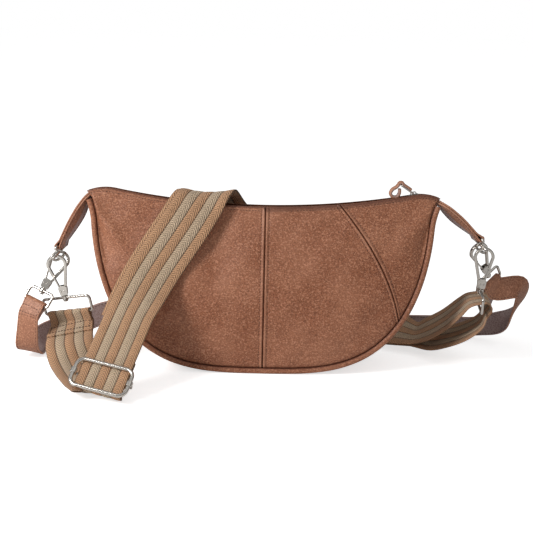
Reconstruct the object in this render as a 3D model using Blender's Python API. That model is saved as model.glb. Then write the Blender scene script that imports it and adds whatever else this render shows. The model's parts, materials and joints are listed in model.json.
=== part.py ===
"""Half moon shoulder bag with a striped webbing strap and a narrow leather strap.

Frame: +X to the wearer's right of the front face, +Y to the back, +Z up, metres.
The origin is on the surface that the bag stands on, under the middle of its bottom.
"""
import math

import bmesh
import bpy
import numpy as np
from mathutils import Matrix, Vector

for item in list(bpy.data.objects):
    bpy.data.objects.remove(item, do_unlink=True)

# Bag body
bag_half_width = 0.1755
bag_height = 0.174
outline_side_power = 3.26
outline_drop_power = 2.15
base_half_depth = 0.042
mouth_half_depth = 0.0072
mouth_dip = 0.020053
mouth_rise = 0.013053
mouth_height = bag_height + mouth_rise - mouth_dip
mouth_radius = (bag_half_width ** 2 + mouth_dip ** 2) / (2 * mouth_dip)
back_drop = 0.001
belly = 0.011
belly_scale = 0.61
corner_flare = 0.006
corner_flare_height = 0.026
corner_drop = 0.010
corner_round_share = 0.86
leather = 0.002
lining_thickness = 0.0006
lining_slack = 0.0012
piping_radius = 0.003
piping_gap = 0.0006
clearance = 0.0003
panel_inset = 2 * piping_radius + piping_gap

# Front panel seams: distance from the middle, from the mouth down to the piping
middle_seam_share = 0.014
seam_mouth_share = 0.443
seam_foot_share = 0.800
seam_bow_share = 0.058

# Zip
zip_sink = 0.0028
zip_tape_thickness = 0.0008
zip_end_gap = 0.0165
zip_half_length = bag_half_width - zip_end_gap
tooth_pitch = 0.012
tooth_length = 0.0044
tooth_height = 0.0024
tooth_reach = 0.0019
spine_width = 0.0006
wedge_half = 0.0006
wedge_web = 0.00027
slider_length = 0.010
slider_half_width = 0.0046
slider_wall = 0.0009
slider_lip = 0.0008
slider_rest_gap = 0.006
slider_place = zip_half_length - slider_rest_gap
stop_length = 0.003
bridge_height = 0.0032
bridge_half_length = 0.0033
slider_reach = tooth_height / 2 + clearance + slider_wall
pull_wire_radius = 0.0007
pull_link_length = 0.0155
pull_link_width = 0.0075
pull_lean = math.radians(45)
thong_width = 0.0053
thong_thickness = 0.0013

# Side tabs and D-rings
tab_root_inset = 0.0075
tab_root_place = bag_half_width - tab_root_inset
tab_root_drop = 0.0045
tab_crest_reach = 0.0007
tab_crest_place = bag_half_width + tab_crest_reach
tab_crest_drop = 0.0048
tab_width = 0.022
tab_root_width = 0.0092
tab_spread = 0.014
tab_leather = 0.0018
ring_wire = 0.0015
d_ring_inner_width = 0.0245
d_ring_drop = 0.0165
d_ring_bow = 0.0048
d_ring_yaw = math.radians(14)

# Snap hooks
hook_length = 0.0432
hook_half_width = 0.0100
hook_bar_width = 0.0024
hook_bar_depth = 0.0032
hook_foot_half_width = 0.0036
hook_foot_height = 0.0105
cheek_thickness = 0.0011
pin_radius = 0.0008
pin_height = 0.0050
knuckle_radius = 0.0021
post_radius = 0.0015
rivet_head_height = 0.0012
rivet_head_radius = 0.0026
boss_radius = 0.0032
boss_height = 0.0050
hook_hang = 0.0012
leaning_hook_hang = 0.0028
gate_share = 0.60
gate_thickness = 0.0017
gate_pin_x = hook_bar_width / 2 - hook_foot_half_width
hook_top_radius = hook_half_width - hook_bar_width / 2
hook_top_centre = hook_length - hook_bar_width / 2 - hook_top_radius

# Straps
webbing_width = 0.050
webbing_thickness = 0.0016
strap_leather_width = 0.025
strap_leather_thickness = 0.0026
webbing_ring_height = 0.0165
leather_ring_height = 0.0145
ring_top_radius = 0.0038
ring_foot_radius = 0.00225
fold_length = 0.028
leather_fold_length = 0.022
loop_radius = 0.0072
loop_rise = 0.0026
loop_shift = 0.0036
turn_radius = 0.0036
straight_below = 0.0115
straight_above = 0.070
split_gap = 0.0005
layer_offset = (webbing_thickness + clearance) / 2

# Slide buckle
buckle_wire = 0.00175
buckle_bar_wire = 0.0015
buckle_height = 0.0275
buckle_corner_radius = 0.0075
eye_length = 0.005
eye_wall = 0.0011
buckle_travel = 0.035
tail_length = 0.024

# Lengths that the place shares below are shares of: to the side, to the back, up
place_inset = 0.0033
place_width = bag_half_width - place_inset
place_depth = base_half_depth - 2 * leather
place_height = bag_height
left_d_ring_shares = (-1.205, -0.03, 0.697)
right_d_ring_shares = (1.281, -0.03, 0.797)
left_d_ring_hang = (-0.23, 0.0, -0.97)
right_d_ring_hang = (0.36, 0.0, -0.93)
buckle_place_shares = (-0.868, -3.13, 0.114)
run_direction = Vector((0.29, 0.665, 0.685)).normalized()
run_width_direction = Vector((0.95, -0.29, -0.11)).normalized()

# Strap routes: place shares and width direction, from the left or the front on
left_drop_shares = (
    ((-1.135, -0.95, 0.150), (0.95, -0.10, 0.10)),
    ((-1.068, -1.50, 0.050), (0.92, 0.28, 0.02)),
    ((-0.972, -2.35, 0.026), (0.97, 0.06, -0.02)),
)
front_route_shares = (
    ((-0.640, -1.00, 0.580), (0.90, -0.14, -0.42)),
    ((-0.445, -0.62, 0.875), (0.93, -0.10, -0.35)),
    ((-0.370, -0.36, 0.990), (0.95, -0.06, -0.22)),
    ((-0.340, -0.12, 1.020), (0.97, -0.16, -0.06)),
)
back_route_shares = (
    ((-0.315, 0.12, 1.020), (0.98, -0.10, 0.06)),
    ((-0.295, 0.36, 0.985), (0.97, -0.03, 0.22)),
    ((-0.225, 0.72, 0.860), (0.94, 0.0, 0.34)),
    ((-0.020, 1.28, 0.600), (0.85, 0.05, 0.52)),
    ((0.210, 1.58, 0.330), (0.64, 0.30, 0.70)),
    ((0.480, 1.66, 0.185), (0.30, 0.55, 0.78)),
    ((0.750, 1.64, 0.140), (0.12, 0.66, 0.70)),
    ((0.980, 1.42, 0.085), (0.06, 0.94, 0.26)),
)
loop_entry_shares = ((1.060, 1.10, 0.078), (1.155, 0.80, 0.115), (1.265, 0.42, 0.185), (1.340, 0.05, 0.275))
loop_entry_width = ((0.06, 0.97, 0.20), (0.05, 0.98, 0.16), (0.07, 0.99, 0.10), (0.08, 0.99, 0.02))
loop_exit_shares = ((1.255, -0.14, 0.420), (1.215, 0.16, 0.355), (1.140, 0.66, 0.235), (1.050, 1.04, 0.145))
loop_exit_width = ((0.08, 0.99, 0.02), (0.07, 0.99, 0.10), (0.05, 0.98, 0.16), (0.06, 0.97, 0.20))
leather_left_shares = (
    ((-1.385, -0.50, 0.240), (0.88, -0.42, -0.20)),
    ((-1.420, -0.15, 0.120), (0.80, 0.30, 0.50)),
    ((-1.400, 0.45, 0.085), (0.45, 0.45, 0.77)),
    ((-1.330, 1.05, 0.080), (0.15, 0.25, 0.95)),
    ((-1.170, 1.42, 0.110), (0.03, 0.10, 1.0)),
    ((-0.980, 1.66, 0.170), (0.0, 0.08, 1.0)),
)
leather_middle_shares = (
    ((-0.980, 1.66, 0.170), (0.0, 0.08, 1.0)),
    ((-0.650, 1.95, 0.130), (0.0, 0.06, 1.0)),
    ((-0.200, 2.15, 0.080), (0.0, 0.0, 1.0)),
    ((0.300, 2.25, 0.077), (0.0, 0.0, 1.0)),
    ((0.900, 2.30, 0.077), (0.0, 0.0, 1.0)),
    ((1.180, 2.35, 0.077), (0.0, 0.0, 1.0)),
)
leather_right_shares = (
    ((1.180, 2.35, 0.077), (0.0, 0.0, 1.0)),
    ((1.420, 2.30, 0.085), (0.0, -0.25, 0.97)),
    ((1.580, 2.00, 0.150), (0.35, 0.30, 0.88)),
    ((1.645, 1.60, 0.290), (0.62, 0.60, 0.50)),
    ((1.630, 1.20, 0.420), (0.72, 0.60, 0.35)),
)
leather_return_shares = (
    ((1.475, 1.20, 0.300), (0.75, 0.55, 0.35)),
    ((1.480, 1.80, 0.175), (0.55, 0.40, 0.70)),
    ((1.400, 2.15, 0.100), (0.15, 0.10, 0.97)),
)

# Zip thong: along and out of the wire link, shares of the link's length
thong_leg_shares = ((0.26, 0.115), (0.55, 0.115), (0.85, 0.115))
thong_loop_shares = ((1.173, -0.283), (1.287, -0.579), (1.228, -0.867), (0.973, -0.940), (0.763, -0.785),
                     (0.772, -0.502), (0.925, -0.265))

# Shape counts
outline_rings = 48
lining_rings = 24
lining_rows = 3
panel_columns = 10
back_columns = 32
panel_rows = 9
tape_columns = 30
wire_sides = 6
piping_sides = 8
piping_reach = piping_radius / math.cos(math.pi / piping_sides)
path_step = 0.007


def finish(name, colour, roughness, metallic=0.0):
    """One plain material."""
    material = bpy.data.materials.new(name)
    material.use_nodes = True
    shader = material.node_tree.nodes["Principled BSDF"]
    shader.inputs["Base Color"].default_value = (*colour, 1.0)
    shader.inputs["Roughness"].default_value = roughness
    shader.inputs["Metallic"].default_value = metallic
    return material


brown_leather = dict(colour=(0.34, 0.17, 0.10), roughness=0.6)
edge_leather = dict(colour=(0.42, 0.24, 0.15), roughness=0.6)
strap_brown = dict(colour=(0.40, 0.21, 0.13), roughness=0.55)
webbing_brown = dict(colour=(0.45, 0.30, 0.20), roughness=0.85)
lining_cloth = dict(colour=(0.28, 0.22, 0.19), roughness=0.9)
zip_cloth = dict(colour=(0.22, 0.12, 0.08), roughness=0.85)
zip_nylon = dict(colour=(0.25, 0.14, 0.09), roughness=0.5)
nickel = dict(colour=(0.72, 0.70, 0.66), roughness=0.25, metallic=1.0)


def place_mesh(name, mesh, look, smooth=True, frame=None):
    """Put a mesh into the scene as one named sub-part with its own material."""
    mesh.name = name
    thing = bpy.data.objects.new(name, mesh)
    bpy.context.scene.collection.objects.link(thing)
    if not mesh.materials:
        mesh.materials.append(finish(name + "_finish", **look))
    if smooth:
        mesh.shade_smooth()
        mesh.set_sharp_from_angle(angle=math.radians(35))
    if frame is not None:
        thing.matrix_world = frame
    return thing


def mesh_of(points, faces):
    """Mesh from vertex rows and face index lists, with its faces pointing out."""
    mesh = bpy.data.meshes.new("shape")
    mesh.from_pydata([tuple(map(float, p)) for p in points], [], faces)
    mesh.validate()
    work = bmesh.new()
    work.from_mesh(mesh)
    bmesh.ops.recalc_face_normals(work, faces=work.faces)
    work.to_mesh(mesh)
    work.free()
    return mesh


def grid_faces(rows, columns, start=0, wrap=False):
    """Quads between the rows and columns of a vertex grid."""
    faces = []
    for r in range(rows - 1):
        for c in range(columns if wrap else columns - 1):
            following = (c + 1) % columns
            faces.append((start + r * columns + c, start + r * columns + following,
                          start + (r + 1) * columns + following, start + (r + 1) * columns + c))
    return faces


def shell_mesh(outer, inner):
    """Closed shell between two point grids of the same shape (rows, columns, 3)."""
    rows, columns = outer.shape[:2]
    offset = rows * columns
    points = np.concatenate([outer.reshape(-1, 3), inner.reshape(-1, 3)])
    faces = grid_faces(rows, columns) + [face[::-1] for face in grid_faces(rows, columns, offset)]
    rim = [(0, c) for c in range(columns)]
    rim += [(r, columns - 1) for r in range(1, rows)]
    rim += [(rows - 1, c) for c in range(columns - 2, -1, -1)]
    rim += [(r, 0) for r in range(rows - 2, 0, -1)]
    indices = [r * columns + c for r, c in rim]
    for here, there in zip(indices, indices[1:] + indices[:1]):
        faces.append((there, here, here + offset, there + offset))
    return mesh_of(points, faces)


def unit(vectors):
    """Vectors scaled to length one along the last axis."""
    return vectors / np.linalg.norm(vectors, axis=-1, keepdims=True)


def tangents(path, closed=False):
    """Unit tangents of a point path by central differences."""
    if closed:
        return unit(np.roll(path, -1, axis=0) - np.roll(path, 1, axis=0))
    return unit(np.gradient(path, axis=0))


def resample(rows, step):
    """Rows (x, y, z, and more) on a Catmull-Rom curve, evenly spaced by about one step."""
    rows = np.asarray(rows, float)
    padded = np.concatenate([2 * rows[:1] - rows[1:2], rows, 2 * rows[-1:] - rows[-2:-1]])
    gaps = np.linalg.norm(np.diff(padded[:, :3], axis=0), axis=1)
    knots = np.concatenate([[0.0], np.cumsum(np.sqrt(gaps))])
    fine = []
    for k in range(1, len(padded) - 2):
        times = np.linspace(knots[k], knots[k + 1], 24, endpoint=False)[:, None]
        t0, t1, t2, t3 = knots[k - 1:k + 3]
        a1 = (t1 - times) / (t1 - t0) * padded[k - 1] + (times - t0) / (t1 - t0) * padded[k]
        a2 = (t2 - times) / (t2 - t1) * padded[k] + (times - t1) / (t2 - t1) * padded[k + 1]
        a3 = (t3 - times) / (t3 - t2) * padded[k + 1] + (times - t2) / (t3 - t2) * padded[k + 2]
        b1 = (t2 - times) / (t2 - t0) * a1 + (times - t0) / (t2 - t0) * a2
        b2 = (t3 - times) / (t3 - t1) * a2 + (times - t1) / (t3 - t1) * a3
        fine.append((t2 - times) / (t2 - t1) * b1 + (times - t1) / (t2 - t1) * b2)
    fine = np.concatenate(fine + [rows[-1:]])
    run = np.concatenate([[0.0], np.cumsum(np.linalg.norm(np.diff(fine[:, :3], axis=0), axis=1))])
    count = max(2, int(round(run[-1] / step)) + 1)
    wanted = np.linspace(0.0, run[-1], count)
    return np.stack([np.interp(wanted, run, fine[:, k]) for k in range(fine.shape[1])], axis=1)


def framed(rows, square=True):
    """Rows with the width direction and the face normal added; 'square' sets the width across the path."""
    rows = np.asarray(rows, float)
    along = tangents(rows[:, :3])
    wide = rows[:, 3:6]
    if square:
        wide = wide - np.sum(wide * along, axis=1, keepdims=True) * along
    wide = unit(wide)
    return np.concatenate([rows[:, :3], wide, unit(np.cross(wide, along))], axis=1)


def ribbon_mesh(rows, width, thickness, offset=0.0):
    """Flat strap: a rectangle carried along framed rows, 'offset' out of their face."""
    half = np.broadcast_to(np.asarray(width, float), (len(rows),))[:, None] / 2
    spot, wide, normal = rows[:, :3], rows[:, 3:6] * half, rows[:, 6:9]
    high = spot + normal * (offset + thickness / 2)
    low = spot + normal * (offset - thickness / 2)
    corners = [high + wide, high - wide, low - wide, low + wide]
    points = np.stack(corners, axis=1).reshape(-1, 3)
    faces = [(3, 2, 1, 0)]
    for here in range(0, 4 * (len(rows) - 1), 4):
        there = here + 4
        faces += [(here, here + 1, there + 1), (here, there + 1, there)]
        faces += [(here + 3, here + 2, there + 2), (here + 3, there + 2, there + 3)]
        faces += [(here + 1, here + 2, there + 2, there + 1), (here + 3, here, there, there + 3)]
    last = 4 * (len(rows) - 1)
    faces.append((last, last + 1, last + 2, last + 3))
    return mesh_of(points, faces)


def wire_mesh(path, plane_normal, radius, closed=True, sides=wire_sides):
    """Round wire along a flat path whose plane has the given normal."""
    path = np.asarray(path, float)
    along = tangents(path, closed)
    up = np.broadcast_to(np.asarray(plane_normal, float), path.shape)
    side = unit(np.cross(along, up))
    angles = np.linspace(0.0, 2 * math.pi, sides, endpoint=False)
    rings = [path + radius * (math.cos(a) * side + math.sin(a) * up) for a in angles]
    points = np.stack(rings, axis=1).reshape(-1, 3)
    rows = len(path)
    faces = grid_faces(rows, sides, wrap=True)
    last = sides * (rows - 1)
    if closed:
        for s in range(sides):
            following = (s + 1) % sides
            faces.append((last + s, last + following, following, s))
    else:
        faces.append(tuple(range(sides - 1, -1, -1)))
        faces.append(tuple(range(last, last + sides)))
    return mesh_of(points, faces)


def box_mesh(low, high):
    """Box between two corners."""
    x, y, z = zip(low, high)
    points = [(x[i], y[j], z[k]) for i in (0, 1) for j in (0, 1) for k in (0, 1)]
    faces = [(0, 1, 3, 2), (4, 6, 7, 5), (0, 4, 5, 1), (2, 3, 7, 6), (0, 2, 6, 4), (1, 5, 7, 3)]
    return mesh_of(points, faces)


def rod_mesh(start, end, radius, sides=12):
    """Round rod between two points."""
    start, end = Vector(start), Vector(end)
    work = bmesh.new()
    turn = (end - start).to_track_quat("Z", "Y").to_matrix().to_4x4()
    middle = Matrix.Translation((start + end) / 2) @ turn
    bmesh.ops.create_cone(work, cap_ends=True, segments=sides, radius1=radius, radius2=radius,
                          depth=(end - start).length, matrix=middle)
    mesh = bpy.data.meshes.new("rod")
    work.to_mesh(mesh)
    work.free()
    return mesh


def round_rows(centre, side, ahead, radius, wide, start, end, steps):
    """Rows on an arc about a centre, from one angle to another; 'side' is angle 0, 'ahead' 90."""
    rows = []
    for angle in np.linspace(math.radians(start), math.radians(end), steps + 1):
        spot = centre + radius * (math.cos(angle) * side + math.sin(angle) * ahead)
        rows.append(np.concatenate([spot, wide]))
    return np.array(rows)


def prism_mesh(outline, low, high):
    """Flat XZ outline given thickness from y = low to y = high."""
    count = len(outline)
    points = [(x, low, z) for x, z in outline] + [(x, high, z) for x, z in outline]
    faces = [tuple(range(count)), tuple(range(2 * count - 1, count - 1, -1))]
    for k in range(count):
        following = (k + 1) % count
        faces.append((k, following, following + count, k + count))
    return mesh_of(points, faces)


def combine(base, others, operation):
    """Mesh of one base solid joined with, or cut by, other solids."""
    helpers = [bpy.data.objects.new("helper", mesh) for mesh in [base] + others]
    for helper in helpers:
        bpy.context.scene.collection.objects.link(helper)
        helper.hide_render = True
        helper.display_type = "WIRE"
    for cutter in helpers[1:]:
        modifier = helpers[0].modifiers.new("join", "BOOLEAN")
        modifier.operation = operation
        modifier.solver = "EXACT"
        modifier.object = cutter
    graph = bpy.context.evaluated_depsgraph_get()
    result = bpy.data.meshes.new_from_object(helpers[0].evaluated_get(graph))
    for helper in helpers:
        bpy.data.objects.remove(helper, do_unlink=True)
    result.materials.clear()
    return result


def moved(mesh, frame):
    """The same mesh carried by a matrix."""
    mesh.transform(frame)
    return mesh


def frame_at(origin, across, up):
    """Matrix whose X is near 'across' and whose Z is 'up'."""
    up = Vector(up).normalized()
    across = Vector(across)
    across = (across - across.dot(up) * up).normalized()
    depth = up.cross(across)
    frame = Matrix((across, depth, up)).transposed().to_4x4()
    frame.translation = Vector(origin)
    return frame


def place(shares):
    """World point from shares of the three place lengths."""
    return Vector((shares[0] * place_width, shares[1] * place_depth, shares[2] * place_height))


def shares_to_rows(table):
    """Route rows from place shares and width directions."""
    return [np.concatenate([np.array(place(shares)), unit(np.array(wide, float))]) for shares, wide in table]


# Bag shape

def mouth_line(x):
    """Height of the top edge: a shallow arc that drops at the corners."""
    x = np.abs(x)
    arc = mouth_height + mouth_radius - np.sqrt(mouth_radius ** 2 - x ** 2)
    start = corner_round_share * bag_half_width
    over = np.clip((x - start) / (bag_half_width + corner_flare - start), 0.0, None)
    return arc - corner_drop * over ** 2


def outline(inset, rings=outline_rings):
    """Half moon curve in X and Z, right corner to left corner, moved in by 'inset'."""
    angle = np.linspace(0.0, math.pi, 721)
    cosine, sine = np.cos(angle), np.sin(angle).clip(0.0)
    x = bag_half_width * np.sign(cosine) * np.abs(cosine) ** (2 / outline_side_power)
    z = bag_height * (1.0 - sine ** (2 / outline_drop_power))
    rise = np.clip((z - bag_height + corner_flare_height) / corner_flare_height, 0.0, None)
    x = x + np.sign(x) * corner_flare * rise ** 2
    curve = np.stack([x, z], axis=1)
    run = np.concatenate([[0.0], np.cumsum(np.linalg.norm(np.diff(curve, axis=0), axis=1))])
    even = np.linspace(0.0, run[-1], rings)
    curve = np.stack([np.interp(even, run, curve[:, k]) for k in (0, 1)], axis=1)
    slope = tangents(curve)
    inward = np.stack([slope[:, 1], -slope[:, 0]], axis=1)
    return curve + inset * inward


def half_depth(z):
    """Half depth of the wedge at a height: deep at the bottom, narrow at the mouth."""
    share = np.clip(1.0 - z / (bag_height + corner_drop / 2), 0.0, None)
    return mouth_half_depth + (base_half_depth - mouth_half_depth) * share


def swell(x, z):
    """How far the filled bag pushes a face out beyond the flat wedge."""
    edge = (np.abs(x) / bag_half_width) ** outline_side_power
    edge = edge + (np.clip(bag_height - z, 0.0, None) / bag_height) ** outline_drop_power
    inside = np.clip(1.0 - edge, 0.0, 1.0) ** 0.75
    below = np.clip(1.0 - (z / mouth_line(x)) ** 2, 0.0, 1.0)
    return belly * inside * below / belly_scale


def face_depth(x, z):
    """Distance of the outer leather face from the bag's middle plane."""
    return half_depth(z) + swell(x, z)


def coons(bottom, top, left, right):
    """Grid of X and Z filled between four boundary curves."""
    rows, columns = len(left), len(bottom)
    u = np.linspace(0.0, 1.0, columns)[None, :, None]
    v = np.linspace(0.0, 1.0, rows)[:, None, None]
    ruled = (1 - v) * bottom[None] + v * top[None] + (1 - u) * left[:, None] + u * right[:, None]
    corners = ((1 - u) * (1 - v) * bottom[0] + u * (1 - v) * bottom[-1]
               + (1 - u) * v * top[0] + u * v * top[-1])
    return ruled - corners


def face_shell(grid, side):
    """Leather shell over an X and Z grid; side is -1 for the front and 1 for the back."""
    x, z = grid[..., 0], grid[..., 1]
    depth = face_depth(x, z)
    outer = np.stack([x, side * depth, z], axis=-1)
    inner = np.stack([x, side * (depth - leather), z], axis=-1)
    return shell_mesh(outer, inner)


def seam(share_at_mouth, share_at_foot, bow_share, count, gap_side):
    """Seam from the piping up to the mouth, half a seam gap to one side."""
    border = outline(panel_inset)
    foot_x = share_at_foot * bag_half_width
    mouth_x = share_at_mouth * bag_half_width
    order = np.argsort(border[:, 0])
    low = border[order]
    middle = low[np.abs(low[:, 0]) < bag_half_width * 0.97]
    foot = np.array([foot_x, np.interp(foot_x, middle[:, 0], middle[:, 1])])
    head = np.array([mouth_x, mouth_line(mouth_x)])
    v = np.linspace(0.0, 1.0, count)[:, None]
    line = (1 - v) * foot + v * head
    line[:, 0] += np.sign(foot_x) * bow_share * bag_half_width * (4 * v * (1 - v))[:, 0]
    line[:, 0] += gap_side * clearance / 2
    return line


def border_between(x_from, x_to, count):
    """Stretch of the panel's lower border between two X values, left to right."""
    border = outline(panel_inset, 721)[::-1]
    run = np.concatenate([[0.0], np.cumsum(np.linalg.norm(np.diff(border, axis=0), axis=1))])
    inner = slice(20, -20)
    start = run[0] if x_from is None else np.interp(x_from, border[inner, 0], run[inner])
    end = run[-1] if x_to is None else np.interp(x_to, border[inner, 0], run[inner])
    wanted = np.linspace(start, end, count)
    return np.stack([np.interp(wanted, run, border[:, k]) for k in (0, 1)], axis=1)


def mouth_between(x_from, x_to, count, drop):
    """Stretch of the top edge between two X values, lowered by 'drop'."""
    x = np.linspace(x_from, x_to, count)
    return np.stack([x, mouth_line(x) - drop], axis=1)


def straight(start, end, count):
    """Straight line of points."""
    v = np.linspace(0.0, 1.0, count)[:, None]
    return (1 - v) * start + v * end


def panel(name, left, right, side, columns=panel_columns, drop=0.0):
    """One leather panel between two seams, each given as a seam line or None at a corner."""
    bottom = border_between(None if left is None else left[0, 0],
                            None if right is None else right[0, 0], columns)
    corner_x = bag_half_width + corner_flare - panel_inset / 3
    top = mouth_between(-corner_x if left is None else left[-1, 0],
                        corner_x if right is None else right[-1, 0], columns, drop)
    left = straight(bottom[0], top[0], panel_rows) if left is None else left
    right = straight(bottom[-1], top[-1], panel_rows) if right is None else right
    bottom[0], bottom[-1] = left[0], right[0]
    grid = coons(bottom, top, left, right)
    return place_mesh(name, face_shell(grid, side), brown_leather)


def build_panels():
    """Four front panels, sewn side by side, and one back panel."""
    middle_left = seam(middle_seam_share, middle_seam_share, 0.0, panel_rows, -1)
    middle_right = seam(middle_seam_share, middle_seam_share, 0.0, panel_rows, 1)
    shares = (seam_mouth_share, seam_foot_share, seam_bow_share)
    right_in = seam(*shares, panel_rows, -1)
    right_out = seam(*shares, panel_rows, 1)
    left_in = right_in * (-1, 1)
    left_out = right_out * (-1, 1)
    panel("front_panel_outer_left", None, left_out, -1)
    panel("front_panel_inner_left", left_in, middle_left, -1)
    panel("front_panel_inner_right", middle_right, right_in, -1)
    panel("front_panel_outer_right", right_out, None, -1)
    panel("back_panel", None, None, 1, columns=back_columns, drop=back_drop)


def build_piping():
    """A round leather cord along the front edge and one along the back edge."""
    curve = outline(piping_radius)
    for name, side in (("front_piping", -1), ("back_piping", 1)):
        path = np.stack([curve[:, 0], side * half_depth(curve[:, 1]), curve[:, 1]], axis=1)
        along = tangents(path)
        outward = unit(np.cross(along, np.array([0.0, 1.0, 0.0])))
        sideways = unit(np.cross(outward, along))
        path, outward, sideways = path[1:-1], outward[1:-1], sideways[1:-1]
        angles = np.linspace(0.0, 2 * math.pi, piping_sides, endpoint=False) + math.pi / piping_sides
        rings = [path + piping_reach * (math.cos(a) * outward + math.sin(a) * sideways) for a in angles]
        points = np.stack(rings, axis=1).reshape(-1, 3)
        faces = grid_faces(len(path), piping_sides, wrap=True)
        faces.append(tuple(range(piping_sides - 1, -1, -1)))
        last = piping_sides * (len(path) - 1)
        faces.append(tuple(range(last, last + piping_sides)))
        place_mesh(name, mesh_of(points, faces), edge_leather)


def build_gusset():
    """The strip between the two pipings, round the bottom from corner to corner."""
    outer, inner = outline(0.0), outline(leather)
    columns = 5
    sheets = []
    for curve in (outer, inner):
        half = half_depth(outline(2 * piping_radius)[:, 1]) - piping_reach - clearance
        across = np.linspace(-1.0, 1.0, columns)[None, :] * half[:, None]
        x = np.broadcast_to(curve[:, :1], across.shape)
        z = np.broadcast_to(curve[:, 1:], across.shape)
        sheets.append(np.stack([x, across, z], axis=-1)[2:-2])
    place_mesh("bottom_gusset", shell_mesh(*sheets), brown_leather)


def build_lining():
    """Thin cloth pouch inside the leather, open at the mouth."""
    layers = []
    for extra in (0.0, lining_thickness):
        foot = outline(panel_inset + lining_slack + extra, lining_rings)
        floor = outline(leather + lining_slack + extra, lining_rings)
        half = half_depth(foot[:, 1]) - piping_reach - lining_slack - extra
        head_z = mouth_line(foot[:, 0]) - zip_sink - slider_reach - 2 * clearance
        head = np.stack([foot[:, 0], np.maximum(head_z, foot[:, 1] + lining_thickness)], axis=1)
        rows = []
        for side in (-1, 1):
            part = []
            for share in np.linspace(1.0, 0.0, lining_rows):
                spot = (1 - share) * foot + share * head
                gap = leather + lining_slack + share * (clearance - lining_slack)
                depth = face_depth(spot[:, 0], spot[:, 1]) - gap - extra
                part.append(np.stack([spot[:, 0], side * depth, spot[:, 1]], axis=1))
            part.append(np.stack([floor[:, 0], side * half, floor[:, 1]], axis=1))
            rows += part if side < 0 else part[::-1]
        layers.append(np.stack(rows)[:, 2:-2])
    place_mesh("lining", shell_mesh(*layers), lining_cloth)


# Zip

def zip_arc_height(x):
    """Height of the zip chain, which keeps the plain arc over its whole length."""
    return mouth_height - zip_sink + mouth_radius - np.sqrt(mouth_radius ** 2 - np.asarray(x) ** 2)


def arc_spot(x):
    """Point on the zip chain's arc and the turn of its tangent."""
    return float(zip_arc_height(x)), math.asin(x / mouth_radius)


def build_zip_tapes():
    """Two tapes from the panels' inner faces to the teeth."""
    end = zip_half_length + stop_length + clearance
    x = np.linspace(-end, end, tape_columns)
    z = zip_arc_height(x)
    half = np.array([0.0, 0.0, zip_tape_thickness / 2])
    for name, side in (("zip_tape_front", -1), ("zip_tape_back", 1)):
        wall = face_depth(x, z) - leather - clearance
        near = np.full_like(x, tooth_reach + clearance)
        rows = np.stack([np.stack([x, side * edge, z], axis=1) for edge in (near, wall)])
        place_mesh(name, shell_mesh(rows + half, rows - half), zip_cloth)


def comb_mesh(first_tooth, side):
    """One row of teeth on its spine: a flat comb bent along the arc."""
    count = int(2 * zip_half_length / tooth_pitch)
    starts = -zip_half_length + first_tooth + np.arange(count) * tooth_pitch
    lines = np.sort(np.concatenate([starts, starts + tooth_length]))
    across = [wedge_half, tooth_reach - spine_width, tooth_reach]
    z, turn = zip_arc_height(lines), np.arcsin(lines / mouth_radius)
    points = []
    for level in (-tooth_height / 2, tooth_height / 2):
        for y in across:
            points.append(np.stack([lines - level * np.sin(turn), np.full_like(lines, side * y),
                                    z + level * np.cos(turn)], axis=1))
    total = len(lines)

    def corner(k, column, level):
        return (level * 3 + column) * total + k

    faces = []
    for k in range(total - 1):
        columns = (0, 1) if k % 2 == 0 else (1,)
        for c in columns:
            for level in (0, 1):
                faces.append((corner(k, c, level), corner(k + 1, c, level),
                              corner(k + 1, c + 1, level), corner(k, c + 1, level)))
        for c in (columns[0], 2):
            faces.append((corner(k, c, 0), corner(k + 1, c, 0), corner(k + 1, c, 1), corner(k, c, 1)))
    for k in range(total):
        if k in (0, total - 1):
            faces.append((corner(k, 1, 0), corner(k, 2, 0), corner(k, 2, 1), corner(k, 1, 1)))
        faces.append((corner(k, 0, 0), corner(k, 1, 0), corner(k, 1, 1), corner(k, 0, 1)))
    return mesh_of(np.concatenate(points), faces)


def build_teeth():
    """Two rows of teeth that face each other along the arc."""
    first = (tooth_pitch / 2 - tooth_length) / 2
    place_mesh("zip_teeth_front", comb_mesh(first, -1), zip_nylon, smooth=False)
    place_mesh("zip_teeth_back", comb_mesh(first + tooth_pitch / 2, 1), zip_nylon, smooth=False)


def build_zip_stops():
    """A pressed stop between the tapes at each end of the chain."""
    for name, sign in (("zip_stop_left", -1), ("zip_stop_right", 1)):
        x = sign * (zip_half_length + clearance + stop_length / 2)
        z, tilt = arc_spot(x)
        half = (stop_length / 2, tooth_reach, zip_tape_thickness)
        mesh = box_mesh([-value for value in half], half)
        frame = Matrix.Translation((x, 0, z)) @ Matrix.Rotation(-tilt, 4, "Y")
        place_mesh(name, moved(mesh, frame), nickel, smooth=False)


def slider_frame():
    """Frame of the slider: on the chain, Z square to it."""
    z, tilt = arc_spot(slider_place)
    return Matrix.Translation((slider_place, 0, z)) @ Matrix.Rotation(-tilt, 4, "Y")


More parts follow.
